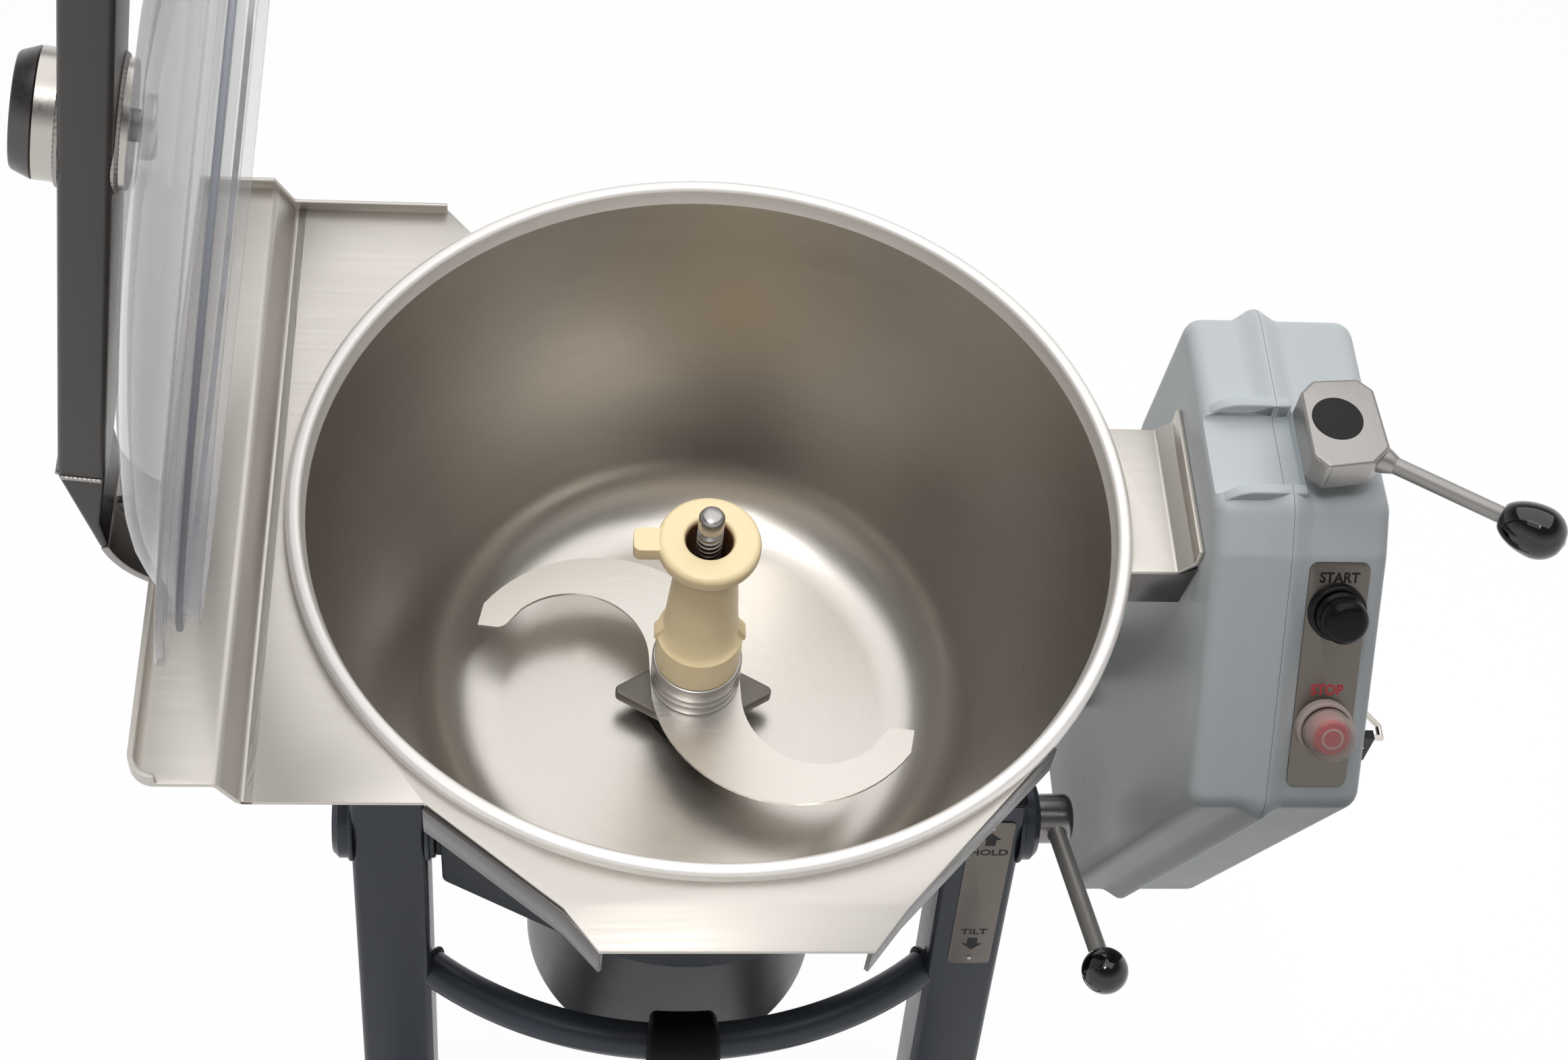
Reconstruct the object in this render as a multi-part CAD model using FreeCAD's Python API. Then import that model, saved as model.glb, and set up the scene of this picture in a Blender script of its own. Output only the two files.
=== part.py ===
import FreeCAD, Part
import math
import os

# Vertical cutter mixer: a tilting steel bowl with a driven S-shaped knife, a hinged clear lid
# on a tube arm, and a control housing, all carried on trunnions by a tube stand.
# The stand is drawn in place: +Z up, +X right, -Y to the front, the floor at Z = 0.
# The tilting unit is drawn in the bowl's frame: origin at the centre of the rim's inner edge,
# Z up the knife shaft. tilt() takes it to its place on the stand. Lengths in mm, angles in degrees.

V = FreeCAD.Vector

# Bowl
BOWL_R = 240.0
BOWL_FOOT_R = 168.0
BOWL_DEPTH = 245.0
BOWL_WALL = 3.0
FLOOR_RADIUS = 56.0
BEAD_R = 4.5
BEAD_CENTRE = -2.0
BEAD_FOOT = -9.0
RIM_R = BOWL_R + 2 * BEAD_R
GLAND_R = 22.0

# Stand
TUBE = 50.0
TUBE_WALL = 3.0
UPRIGHT_CENTRE_X = BOWL_R - 40.6
UPRIGHT_Y = 80.0
PIVOT_HEIGHT = 580.0
UPRIGHT_TOP = PIVOT_HEIGHT + 38.0
RAIL_HALF_LENGTH = 255.0
CROSS_TUBE_Y = 195.0
PAD_THICKNESS = 10.0
PAD_WIDTH = 70.0
PAD_INNER_Y = 225.0
PAD_OUTER_Y = 300.0
FOOT_BOLT_Y = 280.0
FOOT_BOLT_HOLE_R = 6.5
PLUG_HEAD = 3.0
PLUG_DEPTH = 12.0
PLUG_WALL = 4.0
BRACE_R = 12.7
BRACE_Z = PIVOT_HEIGHT - 145.0
BRACE_END_FORWARD = 11.5
BRACE_MIDDLE_Y = 3.0
BUMPER_LENGTH = 48.0
BUMPER_GAP = 0.4

# Trunnions
PIVOT_FORWARD = 54.0
PIVOT_BELOW_RIM = BOWL_DEPTH + 54.0
REST_TILT = 14.3
PIN_R = 12.5
RUNNING_GAP = 0.05
BUSH_R = 16.0
BEARING_SLEEVE_R = 20.0
BOSS_R = 28.0
OUTER_BOSS = 12.0
INNER_BOSS = 5.5
BOSS_CHAMFER = 4.0
WASHER_R = 26.0
SIDE_GAP = 0.3
PIN_INNER_X = 112.0
PIN_PLAIN_END = UPRIGHT_CENTRE_X + 33.6
PIN_CLAMP_END = UPRIGHT_CENTRE_X + 56.6

# Clamp lever at the right trunnion
CLAMP_HUB_R = 17.0
CLAMP_HUB_LENGTH = 25.0
CLAMP_HUB_DOME = 5.0
LEVER_LENGTH = 148.0
LEVER_RISE = 7.3
LEVER_LEAN = 10.5
LEVER_ROD_R = 6.0
LEVER_BALL_R = 15.0
LEVER_ROOT = 14.6
LABEL_WIDTH = 30.0
LABEL_BOTTOM = PIVOT_HEIGHT - 123.0
LABEL_TOP = PIVOT_HEIGHT + 24.0
LABEL_THICKNESS = 1.0
LABEL_OFFSET_X = 3.6
RIVET_R = 1.6
RIVET_HEAD = 0.8
RIVET_INSET = 6.0

# Deck sheet round the rim
SHEET = 3.0
DECK_TOP = -5.0
DECK_BACK = RIM_R - 26.0
DECK_FRONT = 47.0 - RIM_R
DECK_BEND_X = -RIM_R - 9.5
TRAY_STEP_X = DECK_BEND_X - 10.5
TRAY_EDGE_X = DECK_BEND_X - 57.5
TRAY_TOP = 14.0
TRAY_CORNER = 15.0
TRAY_LIP = 7.0
BACK_LIP = 7.0
BACK_CORNER = (-0.659 * RIM_R, -0.602 * RIM_R, 0.827 * RIM_R)
SPOUT_LEFT_END = (-0.649 * RIM_R, DECK_FRONT)
SPOUT_SHOULDER_Y = -RIM_R - 15.0
SPOUT_SHOULDER_LEFT = -86.0
SPOUT_SHOULDER_RIGHT = 97.0
SPOUT_LIP_Y = -RIM_R - 40.0
SPOUT_LIP_LEFT = -67.0
SPOUT_LIP_RIGHT = 78.0
SPOUT_RIGHT_END = (0.751 * RIM_R, -0.6265 * RIM_R)
SPOUT_FLANGE = 28.0
BRACKET_BACK = 59.0
BRACKET_FRONT = -46.0
BRACKET_LIP = 21.0
BRACKET_LIP_THICKNESS = 4.0
BRACKET_FLANGE = 33.0

# Yoke under the bowl
YOKE_TOP = -BOWL_DEPTH - BOWL_WALL - 14.0
YOKE_BOTTOM = YOKE_TOP - 70.0
YOKE_PLATE = 22.0
YOKE_END_X = UPRIGHT_CENTRE_X - 34.4
YOKE_ARM_HALF = 32.0
YOKE_ROUND_R = BOWL_R - 90.0
YOKE_SEAT_R = 100.0
HOUSING_ARM_Y = 82.0
HOUSING_ARM_Z = YOKE_BOTTOM + 32.0
HOUSING_ARM_SIZE = 32.0
HOUSING_ARM_START = 60.0
HOUSING_FLANGE = 8.0
HOUSING_FLANGE_HALF = 31.0
HOUSING_BOLT_R = 4.0
HOUSING_BOLT_HEAD = 5.0

# Motor
MOTOR_R = 109.7
MOTOR_BOTTOM = YOKE_BOTTOM - 245.5
MOTOR_WALL = 4.0
MOTOR_FOOT_RADIUS = 10.0
MOTOR_GAP = 1.0
STATOR_INNER_R = 62.0
STATOR_TOP = YOKE_BOTTOM - 38.0
STATOR_BOTTOM = STATOR_TOP - 130.0
ROTOR_R = STATOR_INNER_R - 1.0
FAN_R = 88.0
FAN_Z = MOTOR_BOTTOM + 37.5
FAN_BLADES = 6
SHAFT_R = 15.0
BEARING_R = 31.0
BEARING_WIDTH = 16.0
LOWER_BEARING_Z = MOTOR_BOTTOM + MOTOR_WALL
BEARING_SEAT = 6.0

# Knife drive in the bowl
SPINDLE_R = 12.0
THREAD_R = 8.0
SEAL_R = 30.0
SEAL_RISE = 6.0
DRIVE_PLATE_TOP = 23.0 - BOWL_DEPTH
DRIVE_PLATE_THICKNESS = 9.0
DRIVE_PLATE_LONG = 55.5
DRIVE_PLATE_SHORT = 33.0
DRIVE_PLATE_CORNER = 4.0
DRIVE_BOSS_R = 24.0
BLADE_BOTTOM = DRIVE_PLATE_TOP + 12.0
BLADE_THICKNESS = 4.0
BLADE_NECK = 30.0
BLADE_OUTER_X = 64.0
BLADE_OUTER_R = 94.0
BLADE_INNER_X = 81.0
BLADE_INNER_Y = -13.6
BLADE_INNER_R = 51.0
BLADE_HEEL_ANGLE = -36.6
BLADE_TIP = (143.0, -39.0)
BLADE_TOE_ANGLE = -27.0
KNIFE_RING_R = 29.2
KNIFE_RING_TOP = BLADE_BOTTOM + BLADE_THICKNESS + 28.0
KNIFE_RING_SPLIT = KNIFE_RING_TOP - 13.0
KNIFE_RING_GROOVE = 1.0
HUB_COLLAR_R = 27.7
HUB_COLLAR_TOP = KNIFE_RING_TOP + 33.0
HUB_BODY_R = 24.5
HUB_FLANGE_TOP = KNIFE_RING_TOP + 134.0
HUB_FLANGE_BOTTOM = HUB_FLANGE_TOP - 13.0
HUB_NECK_Z = HUB_FLANGE_BOTTOM - 5.0
HUB_NECK_R = 19.0
HUB_FLANGE_R = 31.8
HUB_EDGE = 4.5
HUB_WELL_R = 15.0
HUB_WELL_FLOOR = HUB_FLANGE_TOP - 46.0
HUB_TAB_LENGTH = 46.0
HUB_TAB_WIDTH = 17.0
SPINDLE_TOP = HUB_WELL_FLOOR + 6.0
THREAD_TOP = HUB_FLANGE_TOP + 25.0

# Lid, drawn closed and then opened
HINGE_X = TRAY_EDGE_X + 20.0
HINGE_Z = -1.5
LID_OPEN = 81.4
LID_R = RIM_R + 7.0
LID_SEAT = 3.0
LID_FLANGE = 5.0
LID_SHEET = 5.0
LID_SKIRT_R = BOWL_R - 4.0
LID_SKIRT_BOTTOM = -11.0
LID_SHOULDER_R = LID_SKIRT_R - 60.0
LID_SHOULDER_Z = 32.0
LID_CROWN_Z = 44.0
LID_TURN_R = LID_SKIRT_R - 10.0
LID_BOLT_R = 8.0
LID_BOLT_HEAD_R = 16.0
LID_BOLT_HEAD = 7.0
SEAL_RING = 3.2
ARM_WIDTH = 70.0
ARM_HEIGHT = 25.4
ARM_BOTTOM = 50.5
ARM_WALL = 2.5
ARM_LEFT = 1.0 - RIM_R
ARM_RIGHT = RIM_R + 31.0
TONGUE_WIDTH = 48.0
TONGUE_THICKNESS = 12.5
TONGUE_END = ARM_RIGHT + 51.0
TONGUE_OVERLAP = 30.0
BOSS_TUBE_R = 31.75
BOSS_TUBE_WALL = 5.0
BOSS_TUBE_TOP = 88.0
CAP_TOP = 99.0
CAP_TOP_R = 27.5
CAP_PLUG = 10.0
STRAP_R = 57.0
STRAP_THICKNESS = 5.0
STRAP_START = 110.0
STRAP_END = 238.0
STRAP_RIB = 6.0
STRAP_RIB_DEPTH = 9.0
BARREL_R = 11.0
HINGE_PIN_R = 7.0
KNUCKLE_GAP = 0.4
KNUCKLE_LENGTH = 30.0
KNUCKLE_BLOCK_HALF = 10.0

# Control housing
HOUSING_LEFT = RIM_R + 36.0
HOUSING_SEAM = HOUSING_LEFT + 43.0
HOUSING_RIGHT = HOUSING_SEAM + 61.0
HOUSING_CROWN_RIGHT = HOUSING_RIGHT + 10.0
HOUSING_WALL = 4.0
HOUSING_TOP = 54.0
HOUSING_TOP_FRONT = -38.0
HOUSING_BROW = (-60.0, 34.0)
HOUSING_CHIN = (-156.0, -90.0)
HOUSING_FOOT_FRONT = -33.0
HOUSING_FOOT_Z = -452.0
HOUSING_BACK = 120.0
HOUSING_BACK_KNEE = -70.0
HOUSING_TOP_BACK = 105.0
HOUSING_CORNER = 16.0
HOUSING_EDGE = 11.0
SEAM_RIDGE = 7.0
SEAM_RIDGE_FOOT = 13.0
SEAM_RIDGE_FLAT = 2.0
CROWN_FOOT = 22.0
SADDLE_HALF = 28.0
SADDLE_Z = 48.0
SADDLE_RIGHT = HOUSING_SEAM + 10.0
SADDLE_RIB = 6.0
SADDLE_RIB_LEFT = HOUSING_LEFT + 5.0
PLATE_LEFT = HOUSING_SEAM + 13.0
PLATE_RIGHT = PLATE_LEFT + 36.0
PLATE_START = 3.0
PLATE_END = 143.0
PLATE_THICKNESS = 1.5
PLATE_CORNER = 5.0
START_ALONG = 32.5
STOP_ALONG = 104.5
SWITCH_BARREL_R = 11.0
SWITCH_BARREL = 24.0
SWITCH_BEZEL_R = 17.0
SWITCH_BEZEL_H = 8.0
SWITCH_FLOOR = 2.5
SWITCH_BLOCK = 26.0
SWITCH_BLOCK_DEPTH = 30.0
BUTTON_R = 14.5
BUTTON_FOOT = 9.0
BUTTON_TOP = 27.0
BUTTON_STEM_R = 6.0
BUTTON_STEM = 18.0
STOP_CAP_R = 10.5
STOP_CAP_TOP = 22.0
BOOT_SHEET = 1.8
CONTACTOR_SIZE = (52.0, 60.0, 86.0)
CONTACTOR_PLACE = (10.0, -220.0)
SEAM_SCREW_R = 3.0
SEAM_SCREW_HEAD_R = 5.5
SEAM_SCREW_HEAD = 3.0
SEAM_SCREW_LENGTH = 20.0
SCREW_BOSS_R = 8.0
CATCH_Y = -96.0
CATCH_Z = -88.0
CATCH_HALF_WIDTH = 22.0
CATCH_HALF_HEIGHT = 13.0
CATCH_THICKNESS = 11.0
BAIL_WIRE_R = 2.0
BAIL_REACH = 26.0
BAIL_ANGLE = 50.0

# Latch on the housing
LATCH_X = HOUSING_SEAM + 24.0
LATCH_Y = -1.0
LATCH_BOTTOM = 66.0
LATCH_TOP = 88.0
LATCH_POST_R = 8.0
LATCH_OUTLINE = [(-18.5, 18.0), (-10.0, 27.0), (17.0, 29.0), (25.5, 21.0),
                 (28.0, -21.0), (17.0, -32.0), (-10.0, -36.0), (-18.5, -27.0)]
LATCH_CORNER = 4.0
LATCH_EDGE = 2.0
DISC_R = 15.0
DISC_THICKNESS = 1.5
LATCH_ROD_R = 5.0
LATCH_ROD_START = (LATCH_X + 20.0, -18.0, 77.0)
KNOB_START = (LATCH_X + 85.0, -64.0, 84.0)
KNOB_LENGTH = 38.0
KNOB_R = 15.5
KNOB_NECK_R = 8.0
KNOB_TIP_R = 2.0


# Small helpers

def box(x0, x1, y0, y1, z0, z1):
    return Part.makeBox(x1 - x0, y1 - y0, z1 - z0, V(x0, y0, z0))


def rod(radius, start, end):
    """Round bar from one point to another."""
    a, b = V(*start), V(*end)
    return Part.makeCylinder(radius, a.distanceToPoint(b), a, b - a)


def on_circle(x, y, radius, angle):
    turn = math.radians(angle)
    return (x + radius * math.cos(turn), y + radius * math.sin(turn))


def outline(steps, place):
    """Closed wire. A step is a point, or a pair of points: an arc through one to the other."""
    edges = []
    here = place(*steps[0])
    for step in steps[1:] + steps[:1]:
        if isinstance(step[0], tuple):
            there = place(*step[1])
            edges.append(Part.Arc(here, place(*step[0]), there).toShape())
        else:
            there = place(*step)
            if there.distanceToPoint(here) > 0.001:
                edges.append(Part.LineSegment(here, there).toShape())
        here = there
    return Part.Wire(edges)


def bend(before, corner, after, radius):
    """Two steps of an outline that turn a corner in an arc."""
    corner = V(*corner, 0)
    back = (V(*before, 0) - corner).normalize()
    ahead = (V(*after, 0) - corner).normalize()
    half = back.getAngle(ahead) / 2
    reach = radius / math.tan(half)
    middle = (back + ahead).normalize()
    crown = corner + middle * (radius / math.sin(half) - radius)
    start, end = corner + back * reach, corner + ahead * reach
    return [(start.x, start.y), ((crown.x, crown.y), (end.x, end.y))]


def rounded(points, radius):
    """Steps of a polygon whose corners are arcs of one radius."""
    steps = []
    for index, corner in enumerate(points):
        steps += bend(points[index - 1], corner, points[(index + 1) % len(points)], radius)
    return steps


def turned(steps, start=(0, 0, 0), axis=(0, 0, 1)):
    """Solid of revolution from (radius, height) steps, stood on a point along an axis."""
    face = Part.Face(outline(steps, lambda r, z: V(r, 0, z)))
    solid = face.revolve(V(0, 0, 0), V(0, 0, 1), 360)
    return stood(solid, start, axis)


def stood(shape, start, axis):
    turn = FreeCAD.Rotation(V(0, 0, 1), V(*axis))
    shape.Placement = FreeCAD.Placement(V(*start), turn)
    return shape


def raised(steps, z0, z1):
    """Plan outline (x, y) raised from z0 to z1."""
    return Part.Face(outline(steps, lambda x, y: V(x, y, z0))).extrude(V(0, 0, z1 - z0))


def across(steps, x0, x1):
    """Side outline (y, z) drawn across from x0 to x1."""
    return Part.Face(outline(steps, lambda y, z: V(x0, y, z))).extrude(V(x1 - x0, 0, 0))


def through(steps, y0, y1):
    """Front outline (x, z) drawn through from y0 to y1."""
    return Part.Face(outline(steps, lambda x, z: V(x, y0, z))).extrude(V(0, y1 - y0, 0))


def joined(*shapes):
    whole = shapes[0]
    for shape in shapes[1:]:
        whole = whole.fuse(shape)
    return whole.removeSplitter()


def softened(shape, radius, wanted):
    """Fillet of the edges that a test picks by their bounding box."""
    return shape.makeFillet(radius, [edge for edge in shape.Edges if wanted(edge.BoundBox)])


def flat_at(low, high, value):
    return abs(low - value) < 0.01 and abs(high - value) < 0.01


def tilt(shape):
    """From the bowl's frame to the stand: the rest tilt about the trunnions."""
    moved = shape.copy()
    moved.translate(V(0, PIVOT_FORWARD, PIVOT_BELOW_RIM))
    moved.rotate(V(0, 0, 0), V(1, 0, 0), REST_TILT)
    moved.translate(V(0, UPRIGHT_Y, PIVOT_HEIGHT))
    return moved


def opened(shape):
    """From the closed lid to the lid standing open, then onto the stand."""
    moved = shape.copy()
    moved.rotate(V(HINGE_X, 0, HINGE_Z), V(0, -1, 0), LID_OPEN)
    return tilt(moved)


def save(name, *solids):
    parts = []
    for shape in solids:
        parts.extend(shape.Solids)
    shape = parts[0] if len(parts) == 1 else Part.makeCompound(parts)
    shape.exportStep(os.path.join("parts", name + ".step"))
    print(name, len(parts), round(shape.Volume / 1000, 1), shape.isValid())


# Stand

def square_tube(x, y, z0, z1):
    half = TUBE / 2
    inner = half - TUBE_WALL
    outside = box(x - half, x + half, y - half, y + half, z0, z1)
    return outside.cut(box(x - inner, x + inner, y - inner, y + inner, z0, z1))


def level_tube(x0, x1, y0, y1, along_x):
    """Square tube lying on the pads, its bore along X or Y."""
    low, high = PAD_THICKNESS, PAD_THICKNESS + TUBE
    wall = TUBE_WALL
    outside = box(x0, x1, y0, y1, low, high)
    if along_x:
        return outside.cut(box(x0, x1, y0 + wall, y1 - wall, low + wall, high - wall))
    return outside.cut(box(x0 + wall, x1 - wall, y0, y1, low + wall, high - wall))


def upright(side):
    x = side * UPRIGHT_CENTRE_X
    tube = square_tube(x, UPRIGHT_Y, PAD_THICKNESS + TUBE, UPRIGHT_TOP)
    hole = rod(BEARING_SLEEVE_R, (x - TUBE, UPRIGHT_Y, PIVOT_HEIGHT), (x + TUBE, UPRIGHT_Y, PIVOT_HEIGHT))
    return tube.cut(hole)


def base_rail(side):
    x = side * UPRIGHT_CENTRE_X
    half = TUBE / 2
    return level_tube(x - half, x + half, -RAIL_HALF_LENGTH, RAIL_HALF_LENGTH, False)


def cross_tube():
    half = TUBE / 2
    reach = UPRIGHT_CENTRE_X - half
    return level_tube(-reach, reach, CROSS_TUBE_Y - half, CROSS_TUBE_Y + half, True)


def foot_pads():
    pads = []
    for side in (-1, 1):
        for end in (-1, 1):
            x = side * UPRIGHT_CENTRE_X
            near, far = sorted((end * PAD_INNER_Y, end * PAD_OUTER_Y))
            pad = box(x - PAD_WIDTH / 2, x + PAD_WIDTH / 2, near, far, 0, PAD_THICKNESS)
            hole = rod(FOOT_BOLT_HOLE_R, (x, end * FOOT_BOLT_Y, 0), (x, end * FOOT_BOLT_Y, PAD_THICKNESS))
            pads.append(pad.cut(hole))
    return pads


def tube_plug(width):
    """Plastic end plug: a flat head and a hollow spigot that fills the tube's bore, along +Z."""
    half = width / 2
    bore = half - TUBE_WALL
    inner = bore - PLUG_WALL
    head = box(-half, half, -half, half, 0, PLUG_HEAD)
    spigot = box(-bore, bore, -bore, bore, -PLUG_DEPTH, 0)
    hollow = box(-inner, inner, -inner, inner, -PLUG_DEPTH, -PLUG_WALL)
    return joined(head, spigot.cut(hollow))


def tube_plugs():
    """Plugs in the tops of the uprights and in both ends of the rails."""
    plugs = []
    middle = PAD_THICKNESS + TUBE / 2
    for side in (-1, 1):
        x = side * UPRIGHT_CENTRE_X
        plugs.append(stood(tube_plug(TUBE), (x, UPRIGHT_Y, UPRIGHT_TOP), (0, 0, 1)))
        for end in (-1, 1):
            plugs.append(stood(tube_plug(TUBE), (x, end * RAIL_HALF_LENGTH, middle), (0, end, 0)))
    return plugs


def brace_arc(reach):
    """Centre line of the bowed bar, out to x = -reach and +reach on the bar's own circle."""
    half_span = UPRIGHT_CENTRE_X - TUBE / 2
    bow = UPRIGHT_Y - BRACE_END_FORWARD - BRACE_MIDDLE_Y
    radius = (half_span ** 2 + bow ** 2) / (2 * bow)
    centre_y = BRACE_MIDDLE_Y + radius
    end_y = centre_y - math.sqrt(radius ** 2 - reach ** 2)
    middle = V(0, BRACE_MIDDLE_Y, BRACE_Z)
    return Part.Arc(V(-reach, end_y, BRACE_Z), middle, V(reach, end_y, BRACE_Z)).toShape()


def bar_along(arc, radius):
    start = arc.Vertexes[0].Point
    ring = Part.Circle(start, arc.tangentAt(arc.FirstParameter), radius).toShape()
    return Part.Wire([arc]).makePipeShell([Part.Wire([ring])], True, False)


def brace_bar():
    span = UPRIGHT_CENTRE_X - TUBE / 2
    long_bar = bar_along(brace_arc(span + BRACE_R), BRACE_R)
    reach = 4 * TUBE
    slot = box(-span, span, UPRIGHT_Y - reach, UPRIGHT_Y + reach, BRACE_Z - TUBE, BRACE_Z + TUBE)
    return long_bar.common(slot)


def bumper_sleeve():
    motor_front = UPRIGHT_Y + PIVOT_FORWARD - MOTOR_R
    radius = motor_front - BUMPER_GAP - BRACE_MIDDLE_Y
    arc = brace_arc(BUMPER_LENGTH / 2)
    return bar_along(arc, radius).cut(bar_along(brace_arc(BUMPER_LENGTH), BRACE_R))


def stand():
    save("left_upright", upright(-1))
    save("right_upright", upright(1))
    save("left_base_rail", base_rail(-1))
    save("right_base_rail", base_rail(1))
    save("tube_plugs", *tube_plugs())
    save("rear_cross_tube", cross_tube())
    save("foot_pads", *foot_pads())
    save("brace_bar", brace_bar())
    save("bumper_sleeve", bumper_sleeve())


# Trunnions

def inner_face():
    return UPRIGHT_CENTRE_X - TUBE / 2


def outer_face():
    return UPRIGHT_CENTRE_X + TUBE / 2


def at_pivot(solid, side):
    """A piece turned about Z, laid along X through the trunnions."""
    return stood(solid, (0, UPRIGHT_Y, PIVOT_HEIGHT), (side, 0, 0))


def trunnion_bearing(side):
    """Sleeve through the upright with a boss welded on either face."""
    inside, outside = inner_face(), outer_face()
    steps = [
        (BUSH_R, inside - INNER_BOSS),
        (BOSS_R, inside - INNER_BOSS),
        (BOSS_R, inside),
        (BEARING_SLEEVE_R, inside),
        (BEARING_SLEEVE_R, outside),
        (BOSS_R, outside),
        (BOSS_R, outside + OUTER_BOSS - BOSS_CHAMFER),
        (BOSS_R - BOSS_CHAMFER, outside + OUTER_BOSS),
        (BUSH_R, outside + OUTER_BOSS),
    ]
    return at_pivot(turned(steps), side)


def trunnion_bush(side):
    start, end = inner_face() - INNER_BOSS, outer_face() + OUTER_BOSS
    bore = PIN_R + RUNNING_GAP
    steps = [(bore, start), (BUSH_R, start), (BUSH_R, end), (bore, end)]
    return at_pivot(turned(steps), side)


def thrust_washer(side):
    """Washer on the yoke's end face that runs against the bearing's inner boss."""
    start, end = YOKE_END_X, inner_face() - INNER_BOSS - SIDE_GAP
    steps = [(PIN_R, start), (WASHER_R, start), (WASHER_R, end), (PIN_R, end)]
    return at_pivot(turned(steps), side)


def trunnion_pin(side):
    end = PIN_CLAMP_END if side > 0 else PIN_PLAIN_END
    steps = [(0, PIN_INNER_X), (PIN_R, PIN_INNER_X), (PIN_R, end), (0, end)]
    return at_pivot(turned(steps), side)


def lever_points():
    """Hub centre and ball centre of the clamp lever."""
    hub = V(outer_face() + OUTER_BOSS + CLAMP_HUB_LENGTH / 2, UPRIGHT_Y, PIVOT_HEIGHT)
    reach = math.sqrt(LEVER_LENGTH ** 2 - LEVER_LEAN ** 2)
    rise = math.radians(LEVER_RISE)
    ball = hub + V(LEVER_LEAN, -reach * math.cos(rise), reach * math.sin(rise))
    return hub, ball


def clamp_rod():
    hub, ball = lever_points()
    along = (ball - hub).normalize()
    return rod(LEVER_ROD_R, hub + along * LEVER_ROOT, ball)


def clamp_hub():
    start = outer_face() + OUTER_BOSS + SIDE_GAP
    end = start + CLAMP_HUB_LENGTH
    bore = PIN_R + RUNNING_GAP
    shoulder = on_circle(CLAMP_HUB_R - CLAMP_HUB_DOME, end - CLAMP_HUB_DOME, CLAMP_HUB_DOME, 45)
    steps = [
        (bore, start),
        (CLAMP_HUB_R, start),
        (CLAMP_HUB_R, end - CLAMP_HUB_DOME),
        (shoulder, (CLAMP_HUB_R - CLAMP_HUB_DOME, end)),
        (0, end),
        (0, PIN_CLAMP_END + SIDE_GAP),
        (bore, PIN_CLAMP_END + SIDE_GAP),
    ]
    return at_pivot(turned(steps), 1).cut(clamp_rod())


def clamp_ball():
    ball = lever_points()[1]
    return Part.makeSphere(LEVER_BALL_R, ball).cut(clamp_rod())


def lever_label():
    x = UPRIGHT_CENTRE_X + LABEL_OFFSET_X
    face = UPRIGHT_Y - TUBE / 2
    half = LABEL_WIDTH / 2
    return box(x - half, x + half, face - LABEL_THICKNESS, face, LABEL_BOTTOM, LABEL_TOP)


def label_rivets():
    x = UPRIGHT_CENTRE_X + LABEL_OFFSET_X
    face = UPRIGHT_Y - TUBE / 2 - LABEL_THICKNESS
    return [rod(RIVET_R, (x, face, z), (x, face - RIVET_HEAD, z))
            for z in (LABEL_BOTTOM + RIVET_INSET, LABEL_TOP - RIVET_INSET)]


def trunnions():
    save("trunnion_bearings", trunnion_bearing(-1), trunnion_bearing(1))
    save("trunnion_bushes", trunnion_bush(-1), trunnion_bush(1))
    save("thrust_washers", thrust_washer(-1), thrust_washer(1))
    save("trunnion_pins", trunnion_pin(-1), trunnion_pin(1))
    save("clamp_hub", clamp_hub())
    save("clamp_lever_rod", clamp_rod())
    save("clamp_lever_ball", clamp_ball())
    save("lever_label", lever_label())
    save("label_rivets", *label_rivets())


# Bowl and deck

def bowl():
    """Spun bowl whose wall narrows to a rounded foot, with a bead round the rim."""
    floor, under = -BOWL_DEPTH, -BOWL_DEPTH - BOWL_WALL
    lean = (BOWL_R - BOWL_FOOT_R) / (BOWL_DEPTH + BEAD_CENTRE)
    outer_r = BOWL_R + lean * (BEAD_FOOT - BEAD_CENTRE) + BOWL_WALL * math.hypot(1, lean)
    outer_foot_r = BOWL_FOOT_R - lean * BOWL_WALL + BOWL_WALL * math.hypot(1, lean)
    inside = bend((GLAND_R, floor), (BOWL_FOOT_R, floor), (BOWL_R, BEAD_CENTRE), FLOOR_RADIUS)
    outside = bend((outer_r, BEAD_FOOT), (outer_foot_r, under), (GLAND_R, under),
                   FLOOR_RADIUS + BOWL_WALL)
    steps = [(GLAND_R, floor)] + inside
    steps += [
        (BOWL_R, BEAD_CENTRE),
        ((BOWL_R + BEAD_R, BEAD_CENTRE + BEAD_R), (RIM_R, BEAD_CENTRE)),
        (RIM_R, BEAD_FOOT),
        (outer_r, BEAD_FOOT),
    ]
    return turned(steps + outside + [(GLAND_R, under)])


def rim_cutter():
    return rod(RIM_R, (0, 0, -BOWL_DEPTH), (0, 0, BOWL_DEPTH))


def deck_outline():
    back_x, rim_x, rim_y = BACK_CORNER
    return [
        (DECK_BEND_X, DECK_BACK), (back_x, DECK_BACK), (rim_x, rim_y), (0.0, 0.0), SPOUT_RIGHT_END,
        (SPOUT_SHOULDER_RIGHT, SPOUT_SHOULDER_Y), (SPOUT_LIP_RIGHT, SPOUT_LIP_Y),
        (SPOUT_LIP_LEFT, SPOUT_LIP_Y), (SPOUT_SHOULDER_LEFT, SPOUT_SHOULDER_Y),
        SPOUT_LEFT_END, (DECK_BEND_X, DECK_FRONT),
    ]


def spout_flanges():
    """Down-turned sides of the pouring lip, one sheet thick inside the deck's outline."""
    top, bottom = DECK_TOP - SHEET, DECK_TOP - SPOUT_FLANGE
    plan = Part.Face(outline(deck_outline(), lambda x, y: V(x, y, bottom)))
    wall = plan.cut(plan.makeOffset2D(-SHEET)).extrude(V(0, 0, top - bottom))
    reach = BOWL_R + BOWL_DEPTH
    keep = box(-reach, reach, SPOUT_LIP_Y + SHEET, DECK_FRONT - SHEET, bottom, top)
    return wall.common(keep).cut(rim_cutter())


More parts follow.
